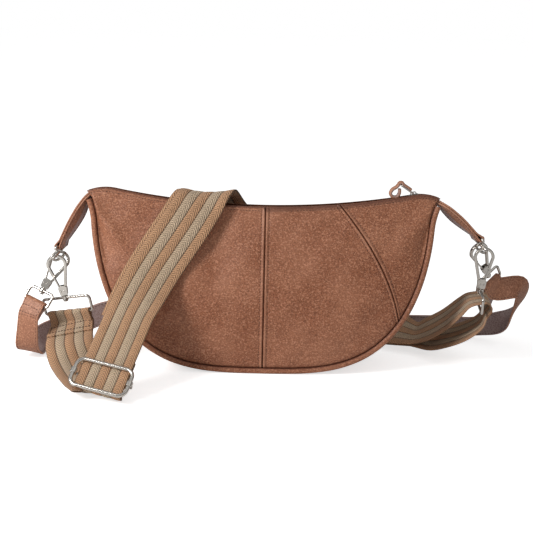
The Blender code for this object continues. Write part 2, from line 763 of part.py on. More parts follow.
def slider_mesh():
    """Slider body: two plates with lips, the wedge web between them and the pull's bridge."""
    inner = slider_reach - slider_wall
    slot = zip_tape_thickness / 2 + clearance
    half, lip = slider_half_width, slider_half_width - slider_lip
    upper = [(wedge_web, inner), (lip, inner), (lip, slot), (half, slot), (half, slider_reach)]
    outline_yz = upper + [(-y, z) for y, z in upper[::-1]]
    outline_yz += [(-y, -z) for y, z in upper] + [(y, -z) for y, z in upper[::-1]]
    count = len(outline_yz)
    points = [(-slider_length / 2, y, z) for y, z in outline_yz]
    points += [(slider_length / 2, y, z) for y, z in outline_yz]
    faces = [tuple(range(count)), tuple(range(2 * count - 1, count - 1, -1))]
    for k in range(count):
        following = (k + 1) % count
        faces.append((k, following, following + count, k + count))
    body = mesh_of(points, faces)
    top = slider_reach + bridge_height
    long, wall = bridge_half_length, slider_wall
    bridge = box_mesh((-long, -wall, slider_reach - wall / 2), (long, wall, top))
    hole = box_mesh((wall - long, -2 * wall, slider_reach), (long - wall, 2 * wall, top - wall))
    return combine(combine(body, [bridge], "UNION"), [hole], "DIFFERENCE")


def build_slider_and_pull():
    """Zip slider, its wire link and the leather thong threaded through the link."""
    frame = slider_frame()
    place_mesh("zip_slider", slider_mesh(), nickel, smooth=False, frame=frame)
    hinge = Vector((0, 0, slider_reach + (bridge_height - slider_wall) / 2))
    link_frame = frame @ Matrix.Translation(hinge) @ Matrix.Rotation(pull_lean, 4, "Y")
    half = pull_link_width / 2
    reach = pull_link_length
    corners = [(0, -half), (0, half), (reach, half), (reach, -half)]
    loop = rounded_loop(corners, [2 * pull_wire_radius] * 4, 3)
    path = [(-px, py, 0.0) for px, py in loop]
    link = wire_mesh(path, (0, 0, 1), pull_wire_radius)
    place_mesh("zip_pull_link", link, nickel, frame=link_frame)
    wide = np.array([0.0, 1.0, 0.0])
    away, out = np.array([-1.0, 0.0, 0.0]), np.array([0.0, 0.0, 1.0])
    leg = [np.concatenate([reach * (a * away + b * out), wide]) for a, b in thong_leg_shares]
    turn = round_rows(reach * away, away, out, pull_wire_radius + clearance + thong_thickness / 2, wide,
                      90, -30, 4)
    loop = [np.concatenate([reach * (a * away + b * out), wide]) for a, b in thong_loop_shares]
    rest = resample([turn[-1]] + loop, 2 * thong_thickness)[1:]
    rows = framed(np.concatenate([leg, turn, rest]))
    place_mesh("zip_pull_thong", ribbon_mesh(rows, thong_width, thong_thickness), strap_brown,
               frame=link_frame)


def rounded_loop(corners, radii, steps):
    """Closed flat loop through corners that are each rounded by their own radius."""
    points = []
    count = len(corners)
    for k in range(count):
        here, radius = Vector(corners[k]), radii[k]
        before = (Vector(corners[k - 1]) - here).normalized()
        after = (Vector(corners[(k + 1) % count]) - here).normalized()
        half_angle = before.angle(after) / 2
        reach = radius / math.tan(half_angle)
        centre = here + (before + after).normalized() * radius / math.sin(half_angle)
        start = here + before * reach - centre
        end = here + after * reach - centre
        for step in range(steps + 1):
            share = step / steps
            spot = (start * (1 - share) + end * share).normalized() * radius
            points.append(tuple(centre + spot))
    return points


# Rings and hooks

def d_ring_mesh():
    """D-ring: straight bar on the local X axis, the bow hanging down local -Z."""
    half = d_ring_inner_width / 2 + ring_wire
    corner = ring_wire * 1.5
    bow = [(half * math.cos(angle), d_ring_bow * (1 - math.sin(angle)) - d_ring_drop)
           for angle in np.linspace(0.0, math.pi, 9)]
    points = [(corner - half, 0.0), (half - corner, 0.0), (half, -corner)] + bow + [(-half, -corner)]
    path = [(x, 0.0, z) for x, z in points]
    return wire_mesh(path, (0, 1, 0), ring_wire)


def strap_ring_mesh(inner_width, height):
    """Strap ring: lower bar on the local X axis, upper bar with the swivel boss."""
    half = inner_width / 2 + ring_wire
    corners = [(-half, 0), (half, 0), (half, height), (-half, height)]
    loop = rounded_loop(corners, [ring_foot_radius] * 2 + [ring_top_radius] * 2, 3)
    wire = wire_mesh([(x, 0.0, z) for x, z in loop], (0, 1, 0), ring_wire)
    low = height - boss_height / 2
    boss = rod_mesh((0, 0, low), (0, 0, height + boss_height / 2), boss_radius)
    bore = rod_mesh((0, 0, low - boss_height), (0, 0, height + boss_height), post_radius + clearance)
    return combine(combine(wire, [boss], "UNION"), [bore], "DIFFERENCE")


def hook_side(share):
    """Point on the straight long side of the hook's bar, share 0 at the foot."""
    start = Vector((hook_foot_half_width - hook_bar_width / 2, pin_height))
    end = Vector((hook_top_radius, hook_top_centre))
    return start.lerp(end, share)


def hook_body_mesh():
    """Hook: teardrop bar from the foot over the top to the nose, cheeks, pin and post."""
    wide = (0.0, 1.0, 0.0)
    spots = [tuple(hook_side(share)) for share in (0.0, 0.5)]
    for angle in np.linspace(0.0, math.pi, 9):
        x = hook_top_radius * math.cos(angle)
        spots.append((x, hook_top_centre + hook_top_radius * math.sin(angle)))
    nose = hook_side(gate_share)
    spots.append((-nose.x, nose.y))
    bar = ribbon_mesh(framed([(x, 0.0, z, *wide) for x, z in spots]), hook_bar_depth, hook_bar_width)
    low, high = hook_foot_half_width, hook_foot_half_width + hook_bar_width / 3
    cheek_outline = [(-low, 0.0), (low, 0.0), (high, hook_foot_height * 0.8), (high * 0.6, hook_foot_height),
                     (-high * 0.6, hook_foot_height), (-high, hook_foot_height * 0.8)]
    inside = hook_bar_depth / 2 + clearance
    outside = inside + cheek_thickness
    front = prism_mesh(cheek_outline, -outside, -inside)
    back = prism_mesh(cheek_outline, inside, outside)
    core_left = gate_pin_x + knuckle_radius + clearance
    core = box_mesh((core_left, -outside + cheek_thickness / 2, cheek_thickness / 3),
                    (low * 0.97, outside - cheek_thickness / 2, hook_foot_height * 0.85))
    floor = box_mesh((-low * 0.96, -outside + cheek_thickness / 3, cheek_thickness / 5),
                     (low * 0.94, outside - cheek_thickness / 3, pin_height - knuckle_radius - clearance))
    pin = rod_mesh((gate_pin_x, -inside - cheek_thickness * 0.6, pin_height),
                   (gate_pin_x, inside + cheek_thickness * 0.6, pin_height), pin_radius, sides=8)
    reach = boss_height + 2 * clearance
    post = rod_mesh((0, 0, pin_height / 4), (0, 0, -reach - rivet_head_height / 2), post_radius, sides=10)
    head = rod_mesh((0, 0, -reach), (0, 0, -reach - rivet_head_height), rivet_head_radius, sides=10)
    return combine(bar, [core, floor, front, back, pin, post, head], "UNION")


def gate_mesh():
    """Gate: a flat tongue from its pivot in the foot to the hook's nose; origin at the pivot."""
    nose = hook_side(gate_share)
    tip = Vector((-nose.x - gate_pin_x, nose.y - pin_height))
    away = tip.normalized()
    start = away * knuckle_radius / 2
    end = away * (tip.length - hook_bar_width / 2 - clearance)
    rows = framed([(spot.x, 0.0, spot.y, 0.0, 1.0, 0.0) for spot in (start, end)])
    tongue = ribbon_mesh(rows, hook_bar_depth, gate_thickness)
    half = hook_bar_depth / 2
    knuckle = rod_mesh((0, -half * 0.98, 0), (0, half * 0.98, 0), knuckle_radius)
    bore = rod_mesh((0, -2 * half, 0), (0, 2 * half, 0), pin_radius + clearance, sides=10)
    return combine(combine(tongue, [knuckle], "UNION"), [bore], "DIFFERENCE")


def d_ring_frame(shares, hang, yaw_sign):
    """Frame of a D-ring: X along its straight bar, Z up the tab."""
    yaw = Vector((yaw_sign * math.sin(d_ring_yaw), math.cos(d_ring_yaw), 0.0))
    return frame_at(place(shares), yaw, -Vector(hang))


left_d_ring = d_ring_frame(left_d_ring_shares, left_d_ring_hang, 1)
right_d_ring = d_ring_frame(right_d_ring_shares, right_d_ring_hang, -1)

hook_sets = {
    "webbing_left": dict(d_ring=left_d_ring, slot=-0.30, up=(-0.225, 0.0, 0.974), across=(0.97, 0.0, 0.22),
                         ring_across=(0.93, -0.32, 0.17), flip=1),
    "leather_left": dict(d_ring=left_d_ring, slot=0.30, up=(0.44, 0.38, 0.80), across=(0.895, -0.20, -0.397),
                         ring_across=(0.80, -0.47, -0.30), flip=1),
    "webbing_right": dict(d_ring=right_d_ring, slot=-0.30, up=(0.03, 0.0, 1.0), across=(1.0, 0.0, -0.03),
                          ring_across=(0.08, 0.997, 0.0), flip=-1),
    "leather_right": dict(d_ring=right_d_ring, slot=0.40, up=(-0.40, -0.45, 0.80), across=(0.80, 0.20, 0.47),
                          ring_across=(0.75, 0.45, 0.5), flip=1),
}


def hook_frame(name):
    """Frame of a hook: origin under its foot, Z up to the loop that holds the D-ring."""
    item = hook_sets[name]
    x = item["slot"] * d_ring_inner_width
    spot = item["d_ring"] @ Vector((x, 0.0, -bow_drop(x)))
    up = Vector(item["up"]).normalized()
    hang = leaning_hook_hang if "leather" in name else hook_hang
    rest = hook_length - hook_bar_width - hang - ring_wire
    return frame_at(spot - up * rest, item["across"], up)


def bow_drop(x):
    """How far the D-ring's bow hangs below its bar at a distance along it."""
    half = d_ring_inner_width / 2 + ring_wire
    return d_ring_drop - d_ring_bow * (1 - math.sqrt(1 - (x / half) ** 2))


def ring_frame(name):
    """Frame of a strap ring: origin in its lower bar, its boss on the hook's post."""
    item = hook_sets[name]
    hook = hook_frame(name)
    up = hook.to_3x3() @ Vector((0, 0, 1))
    height = webbing_ring_height if "webbing" in name else leather_ring_height
    origin = hook.translation - up * (clearance + boss_height / 2 + height)
    return frame_at(origin, item["ring_across"], up)


def build_hardware():
    """Two D-rings, four strap rings and four snap hooks with their gates."""
    for name, frame in (("d_ring_left", left_d_ring), ("d_ring_right", right_d_ring)):
        place_mesh(name, d_ring_mesh(), nickel, frame=frame)
    webbing_ring = strap_ring_mesh(webbing_width + 2 * ring_wire, webbing_ring_height)
    leather_ring = strap_ring_mesh(strap_leather_width + ring_wire, leather_ring_height)
    body, gate = hook_body_mesh(), gate_mesh()
    for name, item in hook_sets.items():
        ring = webbing_ring if "webbing" in name else leather_ring
        place_mesh("ring_" + name, ring.copy(), nickel, frame=ring_frame(name))
        hook = hook_frame(name)
        turned = hook @ Matrix.Rotation(0.0 if item["flip"] > 0 else math.pi, 4, "Z")
        place_mesh("hook_" + name, body.copy(), nickel, frame=turned)
        pivot = turned @ Matrix.Translation((gate_pin_x, 0, pin_height))
        place_mesh("gate_" + name, gate.copy(), nickel, frame=pivot)


# Tabs

def build_tabs():
    """Leather tabs: each runs out of its corner, round the D-ring's bar and back."""
    turn_about = ring_wire + clearance + tab_leather / 2
    flat = (tab_leather + clearance) / 2
    for name, frame, sign in (("tab_left", left_d_ring, -1), ("tab_right", right_d_ring, 1)):
        bar = np.array(frame.translation)
        wide = np.array(frame.to_3x3() @ Vector((1, 0, 0)))
        plain = np.array([0.0, 1.0, 0.0])
        places = [(tab_root_place, tab_root_drop), (tab_crest_place, tab_crest_drop)]
        route = [np.array([sign * x, 0.0, mouth_line(x) - drop]) for x, drop in places]
        ahead = bar - route[-1]
        ahead = unit(ahead - np.dot(ahead, wide) * wide)
        near = bar - ahead * 2 * turn_about
        middle = (route[-1] + near) / 2
        rows = [np.concatenate([spot, plain]) for spot in route]
        rows += [np.concatenate([middle, plain + wide]), np.concatenate([near, wide])]
        rows = framed(resample(rows, path_step))
        out = rows[-1, 6:9]
        width = tab_root_width + (tab_width - tab_root_width) * np.clip(
            (np.abs(rows[:, 0]) - tab_crest_place) / tab_spread, 0.0, 1.0)
        arc = round_rows(bar, out, ahead, turn_about, wide, 0, 180, 6)
        upper, lower = rows.copy(), rows[::-1].copy()
        upper[:, :3] += upper[:, 6:9] * flat
        lower[:, :3] -= lower[:, 6:9] * flat
        spots = framed(np.concatenate([upper[:, :6], arc, lower[:, :6]]))
        widths = np.concatenate([width, np.full(len(arc), tab_width), width[::-1]])
        place_mesh(name, ribbon_mesh(spots, widths, tab_leather), strap_brown)


# Webbing

def run_point(distance):
    """Row on the straight front run: distance up from the buckle's middle."""
    spot = place(buckle_place_shares) + run_direction * distance
    return np.concatenate([np.array(spot), np.array(run_width_direction)])


def shifted(rows, offset):
    """Framed rows moved out of the strap's face."""
    rows = rows.copy()
    rows[:, :3] += rows[:, 6:9] * offset
    return rows


def shortened(rows, start, end):
    """Rows with their ends drawn in along the path."""
    rows = rows.copy()
    for row, inner, amount in ((0, 1, start), (-1, -2, end)):
        rows[row, :3] += unit(rows[inner, :3] - rows[row, :3]) * amount
    return rows


def fold_rows(frame, thickness, face_sign, free_length):
    """Free flap and turn round a ring's lower bar, then the first rows of the strap below it."""
    matrix = frame.to_3x3()
    bar = np.array(frame.translation)
    up = np.array(matrix @ Vector((0, 0, 1)))
    face = np.array(matrix @ Vector((0, 1, 0))) * face_sign
    wide = np.array(matrix @ Vector((1, 0, 0)))
    near = (thickness + clearance) / 2
    flap = [np.concatenate([bar - up * free_length * share + face * near, wide])
            for share in (1.0, 0.7, 0.4)]
    turn = round_rows(bar, face, up, ring_wire + clearance + thickness / 2, wide, 0, 180, 6)
    below = [np.concatenate([bar - up * free_length * share - face * near, wide]) for share in (0.4, 0.7)]
    return np.concatenate([flap, turn]), below


def whole_webbing_rows():
    """Framed middle line of the doubled webbing, from the buckle over the bag to its back."""
    marks = (-straight_below, 0.0, straight_above / 3, straight_above * 2 / 3, straight_above * 0.9,
             straight_above)
    lift = [run_point(distance) for distance in marks]
    return framed(resample(lift + shares_to_rows(front_route_shares + back_route_shares), path_step))


def build_left_end(start):
    """The webbing's left end: flap, turn round the ring, drop to the floor and turn up to the buckle."""
    frame = ring_frame("webbing_left")
    head, below = fold_rows(frame, webbing_thickness, -1, fold_length)
    up, normal = np.array(run_direction), start[6:9]
    centre = start[:3] + normal * (layer_offset - turn_radius)
    turn = round_rows(centre, normal, -up, turn_radius, start[3:6], 137, 0, 6)
    drop = resample(below + shares_to_rows(left_drop_shares) + [turn[0]], path_step)
    rows = framed(np.concatenate([head, drop, turn[1:]]), square=False)
    rows = shortened(rows, 0.0, split_gap)
    place_mesh("webbing_left_end", ribbon_mesh(rows, webbing_width, webbing_thickness), webbing_brown)


def build_webbing():
    """The striped webbing, stretch by stretch, from the left ring to the right ring."""
    whole = whole_webbing_rows()
    crest = int(np.argmin(np.abs(whole[:, 1])))
    along = np.linalg.norm(whole[:, :3] - whole[0, :3], axis=1)
    inner_start = int(np.argmax(along > straight_below + tail_length + buckle_travel + split_gap))
    for name, offset, first in (("outer", layer_offset, 0), ("inner", -layer_offset, inner_start)):
        layer = shifted(whole, offset)
        front = shortened(layer[first:crest + 1], split_gap, split_gap)
        back = shortened(layer[crest:], split_gap, split_gap)
        for part, rows in (("front", front), ("back", back)):
            mesh = ribbon_mesh(rows, webbing_width, webbing_thickness)
            place_mesh("webbing_" + name + "_" + part, mesh, webbing_brown)
    build_left_end(whole[0])
    build_right_loop(shifted(whole, layer_offset), shifted(whole, -layer_offset))


def build_right_loop(outer, inner):
    """The webbing's loop through the right ring, from the outer layer round to the inner one."""
    frame = ring_frame("webbing_right")
    matrix = frame.to_3x3()
    bar = np.array(frame.translation)
    wide = np.array(matrix @ Vector((1, 0, 0)))
    up = np.array(matrix @ Vector((0, 0, 1)))
    right = np.array(matrix @ Vector((0, -1, 0)))
    centre = bar + up * loop_rise + right * loop_shift
    turn = list(round_rows(centre, right, up, loop_radius, wide, -60, 105, 6))
    entry = shares_to_rows(zip(loop_entry_shares, loop_entry_width))
    leave = shares_to_rows(zip(loop_exit_shares, loop_exit_width))
    rows = [outer[-2, :6], outer[-1, :6]] + entry + turn + leave + [inner[-1, :6], inner[-2, :6]]
    rows = framed(resample(rows, path_step), square=False)
    first = np.argmin(np.linalg.norm(rows[:, :3] - outer[-1, :3], axis=1))
    last = np.argmin(np.linalg.norm(rows[:, :3] - inner[-1, :3], axis=1))
    rows = shortened(rows[first:last + 1], split_gap, split_gap)
    place_mesh("webbing_right_loop", ribbon_mesh(rows, webbing_width, webbing_thickness), webbing_brown)


def build_buckle():
    """Slide buckle: wire frame above the webbing, centre bar below it, and the sewn tail."""
    normal = run_width_direction.cross(run_direction)
    frame = frame_at(place(buckle_place_shares), run_width_direction, run_direction)
    out = np.array([0.0, 1.0 if (frame.to_3x3() @ Vector((0, 1, 0))).dot(normal) > 0 else -1.0, 0.0])
    lift = (layer_offset + webbing_thickness / 2 + clearance + buckle_wire) * out[1]
    low = -(2 * layer_offset + clearance + buckle_bar_wire) * out[1]
    half = webbing_width / 2 + 2 * buckle_wire
    height = buckle_height / 2
    loop = rounded_loop([(-half, -height), (half, -height), (half, height), (-half, height)],
                        [buckle_corner_radius] * 4, 4)
    wire = wire_mesh([(x, lift, z) for x, z in loop], (0, 1, 0), buckle_wire)
    place_mesh("slide_buckle_frame", wire, nickel, frame=frame)
    bar = rod_mesh((-half, low, 0), (half, low, 0), buckle_bar_wire, 10)
    outer = buckle_wire + clearance + eye_wall
    arm = buckle_bar_wire * 0.9
    parts, bores = [], []
    for x in (-half, half):
        parts.append(rod_mesh((x, lift, -eye_length / 2), (x, lift, eye_length / 2), outer))
        parts.append(box_mesh((x - arm, min(low, lift), -arm), (x + arm, max(low, lift), arm)))
        bores.append(rod_mesh((x, lift, -eye_length), (x, lift, eye_length), buckle_wire + clearance))
    bar = combine(combine(bar, parts, "UNION"), bores, "DIFFERENCE")
    place_mesh("slide_buckle_bar", bar, nickel, frame=frame)
    radius = buckle_bar_wire + clearance + webbing_thickness / 2
    wide, up = np.array([1.0, 0.0, 0.0]), np.array([0.0, 0.0, 1.0])
    bar_centre = np.array([0.0, low, 0.0])
    upper = bar_centre + out * radius
    lower = upper - out * 2 * layer_offset
    leg = [np.concatenate([upper + up * tail_length * share, wide]) for share in (1.0, 0.5)]
    turn = round_rows(bar_centre, out, -up, radius, wide, 0, 180, 6)
    back = [np.concatenate([lower + up * tail_length * share, wide]) for share in (0.6, 1.0)]
    rows = framed(np.concatenate([leg, turn, back]))
    tail = ribbon_mesh(rows, webbing_width - 2 * clearance, webbing_thickness)
    place_mesh("webbing_tail", tail, webbing_brown, frame=frame)


# Leather strap

def build_leather_strap():
    """The narrow leather strap, ring to ring behind the bag."""
    head, below = fold_rows(ring_frame("leather_left"), strap_leather_thickness, 1, leather_fold_length)
    frame = ring_frame("leather_right")
    matrix = frame.to_3x3()
    bar = np.array(frame.translation)
    up = np.array(matrix @ Vector((0, 0, 1)))
    wide = np.array(matrix @ Vector((1, 0, 0)))
    side = np.array(matrix @ Vector((0, 1, 0)))
    turn = round_rows(bar, side, up, ring_wire + clearance + strap_leather_thickness / 2, wide, 0, 180, 6)
    drop = np.zeros(6)
    drop[:3] = up * leather_ring_height / 2
    table = leather_left_shares + leather_middle_shares[1:] + leather_right_shares[1:]
    route = resample(below + shares_to_rows(table) + [turn[0] - drop, turn[0]], path_step)
    fall = resample([turn[-1], turn[-1] - drop] + shares_to_rows(leather_return_shares), path_step)
    rows = framed(np.concatenate([head, route, turn[1:-1], fall]))
    cuts = [len(head) + int(np.argmin(np.linalg.norm(route[:, :3] - np.array(place(shares)), axis=1)))
            for shares in (leather_middle_shares[0][0], leather_middle_shares[-1][0])]
    parts = (("left", rows[:cuts[0] + 1]), ("middle", rows[cuts[0]:cuts[1] + 1]), ("right", rows[cuts[1]:]))
    for name, rows in parts:
        mesh = ribbon_mesh(shortened(rows, split_gap, split_gap), strap_leather_width,
                           strap_leather_thickness)
        place_mesh("leather_strap_" + name, mesh, strap_brown)


build_panels()
build_piping()
build_gusset()
build_lining()
build_zip_tapes()
build_teeth()
build_zip_stops()
build_slider_and_pull()
build_hardware()
build_tabs()
build_webbing()
build_buckle()
build_leather_strap()
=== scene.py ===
# Half moon shoulder bag with a striped webbing strap and a narrow leather strap
import json
import math
import bmesh
import bpy
import numpy as np
from mathutils import Matrix


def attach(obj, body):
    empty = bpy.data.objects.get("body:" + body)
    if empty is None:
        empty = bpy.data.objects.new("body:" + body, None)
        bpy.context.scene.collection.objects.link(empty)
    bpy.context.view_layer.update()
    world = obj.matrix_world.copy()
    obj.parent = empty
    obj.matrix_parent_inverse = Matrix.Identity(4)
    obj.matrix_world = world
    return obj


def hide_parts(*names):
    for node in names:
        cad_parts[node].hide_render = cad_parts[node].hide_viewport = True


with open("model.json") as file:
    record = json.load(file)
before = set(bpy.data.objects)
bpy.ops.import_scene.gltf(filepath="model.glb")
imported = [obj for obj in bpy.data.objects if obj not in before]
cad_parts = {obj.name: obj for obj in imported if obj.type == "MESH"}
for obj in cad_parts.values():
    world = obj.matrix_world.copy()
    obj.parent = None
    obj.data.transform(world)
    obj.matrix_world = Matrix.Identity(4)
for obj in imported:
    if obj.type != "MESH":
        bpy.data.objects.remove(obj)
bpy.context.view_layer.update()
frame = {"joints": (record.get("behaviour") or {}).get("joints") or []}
joints = {joint["name"]: joint for joint in frame["joints"]}

playGap = 0.0003  # between pieces that lie or turn against each other
noRound = 1e-5  # radius of a corner that stays sharp


# small vector helpers

def unit(vectors):
    # each vector divided by its own length
    vectors = np.asarray(vectors, float)
    return vectors / np.linalg.norm(vectors, axis=-1, keepdims=True)


def ease(t):
    # three t squared minus two t cubed, held between 0 and 1
    t = np.clip(t, 0.0, 1.0)
    return t * t * (3 - 2 * t)


def bell(distance, width):
    # a round bump: e to the minus (distance over width) squared
    return np.exp(-(distance / width) ** 2)


def runLength(path):
    # length along the path up to each point
    steps = np.linalg.norm(np.diff(path[:, :3], axis=0), axis=1)
    return np.concatenate([[0.0], np.cumsum(steps)])


def evenly(path, spots):
    # the path read at the given lengths along it, straight between its points
    run = runLength(path)
    return np.stack([np.interp(spots, run, column) for column in path.T], axis=1)


def smoothRows(rows, step):
    # centripetal Catmull-Rom curve through the rows, then read at even steps
    rows = np.asarray(rows, float)
    padded = np.concatenate([2 * rows[:1] - rows[1:2], rows, 2 * rows[-1:] - rows[-2:-1]])
    gaps = np.linalg.norm(np.diff(padded[:, :3], axis=0), axis=1)
    knots = np.concatenate([[0.0], np.cumsum(np.sqrt(gaps))])
    fine = []
    for k in range(1, len(padded) - 2):
        t = np.linspace(knots[k], knots[k + 1], 24, endpoint=False)[:, None]
        spots, times = list(padded[k - 1:k + 3]), knots[k - 1:k + 3]
        for reach in (1, 2):
            spots = [((times[i + reach] - t) * spots[i] + (t - times[i]) * spots[i + 1])
                     / (times[i + reach] - times[i]) for i in range(len(spots) - 1)]
        fine.append(((times[2] - t) * spots[0] + (t - times[1]) * spots[1]) / (times[2] - times[1]))
    fine = np.concatenate(fine + [rows[-1:]])
    count = max(2, int(round(runLength(fine)[-1] / step)) + 1)
    return evenly(fine, np.linspace(0.0, runLength(fine)[-1], count))


def withWidth(spots, wide):
    # each point with the same width direction behind it
    return np.concatenate([spots, np.broadcast_to(wide, spots.shape)], axis=1)


def arcRows(centre, side, ahead, radius, wide, start, end, count):
    # points on a circle: side times cosine plus ahead times sine, from one angle to another
    angle = np.radians(np.linspace(start, end, count))[:, None]
    return withWidth(centre + radius * (np.cos(angle) * side + np.sin(angle) * ahead), wide)


def legRows(start, step, shares, wide):
    # points on a straight leg: the start plus shares of one step
    return withWidth(start + np.multiply.outer(shares, step), wide)


def faced(rows, square=True):
    # adds the face direction, across the path and the width; square turns the width square to the path
    along = unit(np.gradient(rows[:, :3], axis=0))
    wide = rows[:, 3:6]
    if square:
        wide = wide - np.sum(wide * along, axis=1, keepdims=True) * along
    wide = unit(wide)
    return np.concatenate([rows[:, :3], wide, unit(np.cross(wide, along))], axis=1)


def shifted(rows, amount, columns=slice(6, 9)):
    # rows moved along their face direction, or along their width
    return np.concatenate([rows[:, :3] + rows[:, columns] * amount, rows[:, 3:6]], axis=1)


def readAt(rows, values, distance):
    # what is given for each row, read at a length along the strap, straight between rows
    spot = np.interp(distance, runLength(rows), np.arange(len(rows)))
    low = min(int(spot), len(rows) - 2)
    return values[low] + (values[low + 1] - values[low]) * (spot - low)


# meshes from point grids

def ringFaces(rows, columns, closed=False):
    # four-sided faces between neighbouring rings of points, numbered ring after ring
    r, c = np.meshgrid(np.arange(rows if closed else rows - 1), np.arange(columns), indexing="ij")
    here, there, after = r * columns, (r + 1) % rows * columns, (c + 1) % columns
    return np.stack([here + c, here + after, there + after, there + c], axis=-1).reshape(-1, 4)


def ringPart(grid, closed=False):
    # the rows of a grid as rings; the first and the last are capped unless they meet
    rows, columns = grid.shape[:2]
    faces = ringFaces(rows, columns, closed).tolist()
    if not closed:
        faces.append(list(range(columns - 1, -1, -1)))
        faces.append(list(range((rows - 1) * columns, rows * columns)))
    return {"points": grid.reshape(-1, 3), "faces": faces, "masks": {}}


def shellPart(outer, inner, uv=None, masks=None):
    # a thin wall: the outer grid's rows run on into the inner grid's rows, back to back, as closed rings
    rows, columns = outer.shape[:2]
    width = 2 * columns
    k = np.arange(columns - 1)
    first = np.stack([k, width - 1 - k, width - 2 - k, k + 1], axis=-1)
    last = (first + (rows - 1) * width)[:, ::-1]
    part = {"points": np.concatenate([outer, inner[:, ::-1]], axis=1).reshape(-1, 3),
            "faces": np.concatenate([ringFaces(rows, width), first, last]).tolist(), "masks": {}}
    if uv is not None:
        part["uv"] = np.concatenate([uv, uv[:, ::-1]], axis=1).reshape(-1, 2)
    for name, sides in (masks or {}).items():
        front, back = [np.broadcast_to(side, (rows, columns)) for side in sides]
        part["masks"][name] = np.concatenate([front, back[:, ::-1]], axis=1).ravel()
    return part


def sweepPart(path, side, up, profile, closed=False, scale=None):
    # a closed profile carried along a path: path point plus profile x times side plus profile y times up
    size = np.ones(len(path)) if scale is None else scale
    side, up = np.broadcast_to(side, path.shape), np.broadcast_to(up, path.shape)
    across = profile[None, :, :1] * side[:, None] + profile[None, :, 1:] * up[:, None]
    return ringPart(path[:, None] + across * size[:, None, None], closed)


def circle(radius, count):
    # points of a circle: radius times cosine and sine
    angle = np.linspace(0.0, 2 * math.pi, count, endpoint=False)
    return radius * np.stack([np.cos(angle), np.sin(angle)], axis=1)


def roundRect(wide, high, corner, count=4):
    # rectangle whose four corners are quarter circles
    rings = []
    for k, (sx, sy) in enumerate(((1, 1), (-1, 1), (-1, -1), (1, -1))):
        angle = np.linspace(k, k + 1, count) * math.pi / 2
        centre = np.array([sx * (wide / 2 - corner), sy * (high / 2 - corner)])
        rings.append(centre + corner * np.stack([np.cos(angle), np.sin(angle)], axis=1))
    return np.concatenate(rings)


def wirePart(path, plane, profile, closed=True, scale=None):
    # wire on a flat path; the plane's own direction and the one across the path span its profile
    if closed:
        along = unit(np.roll(path, -1, axis=0) - np.roll(path, 1, axis=0))
    else:
        along = unit(np.gradient(path, axis=0))
    up = np.broadcast_to(unit(plane), path.shape)
    return sweepPart(path, unit(np.cross(along, up)), up, profile, closed, scale)


def straightBar(start, end, wide, high, corner):
    # bar along X with a rounded section, wide in Y and high in Z
    return sweepPart(np.array([start, end], float), (0.0, 1.0, 0.0), (0.0, 0.0, 1.0),
                     roundRect(wide, high, corner))


def lathePart(profile, sides=24):
    # radius and height pairs turned round the Z axis, closed at both ends
    profile = np.asarray(profile, float)
    flat = profile[:, None, :1] * circle(1.0, sides)[None]
    heights = np.broadcast_to(profile[:, None, 1:], flat[..., :1].shape)
    return ringPart(np.concatenate([flat, heights], axis=2))


def roundedLoop(corners, radii, count=8):
    # closed flat path whose corners are arcs that touch both their sides
    corners = np.asarray(corners, float)
    before, after = unit(np.roll(corners, 1, axis=0) - corners), unit(np.roll(corners, -1, axis=0) - corners)
    half = np.arccos(np.clip(np.sum(before * after, axis=1), -1, 1)) / 2
    radii = np.asarray(radii, float)
    reach = (radii / np.tan(half))[:, None]
    centre = corners + unit(before + after) * (radii / np.sin(half))[:, None]
    share = np.linspace(0.0, 1.0, count)[None, :, None]
    start, end = corners + before * reach - centre, corners + after * reach - centre
    arcs = unit(start[:, None] * (1 - share) + end[:, None] * share) * radii[:, None, None] + centre[:, None]
    return arcs.reshape(-1, 2)


def boxLoop(wide, low, high, radii, count=8):
    # rectangle from minus wide to wide and from low to high, its four corners rounded
    return roundedLoop([(-wide, low), (wide, low), (wide, high), (-wide, high)], radii, count)


def flatPath(loop, depth=0.0):
    # an X and Z loop set at a depth
    return np.stack([loop[:, 0], np.full(len(loop), depth), loop[:, 1]], axis=1)


def levelPath(loop, height=0.0):
    # an X and Y loop set at a height
    return np.stack([loop[:, 0], loop[:, 1], np.full(len(loop), height)], axis=1)


def slab(low, high):
    # two like outlines joined by sides, with a face on each
    k = np.arange(len(low))
    faces = [k.tolist(), (k[::-1] + len(low)).tolist()] + ringFaces(2, len(low)).tolist()
    return {"points": np.concatenate([low, high]), "faces": faces, "masks": {}}


def plate(outline, low, high):
    # flat X and Z outline given depth from low to high
    outline = np.asarray(outline, float)
    return slab(flatPath(outline, low), flatPath(outline, high))


def placed(part, matrix):
    # the part's points carried by a 3 by 4 matrix: turn columns, then the shift
    return dict(part, points=part["points"] @ matrix[:, :3].T + matrix[:, 3])


def frameOf(origin, across, up):
    # columns across (made square to up), up cross across, up, and the origin
    up = unit(up)
    across = unit(np.asarray(across, float) - np.dot(across, up) * up)
    return np.stack([across, np.cross(up, across), up, np.asarray(origin, float)], axis=1)


def rod(start, end, radius, edge=0.0003, sides=24):
    # round bar between two points with softly turned ends
    start, end = np.asarray(start, float), np.asarray(end, float)
    length = np.linalg.norm(end - start)
    up = (end - start) / length
    profile = [(radius - edge, 0.0), (radius, edge), (radius, length - edge), (radius - edge, length)]
    across = (1.0, 0.0, 0.0) if abs(up[0]) < 0.9 else (0.0, 1.0, 0.0)
    return placed(lathePart(profile, sides), frameOf(start, across, up))


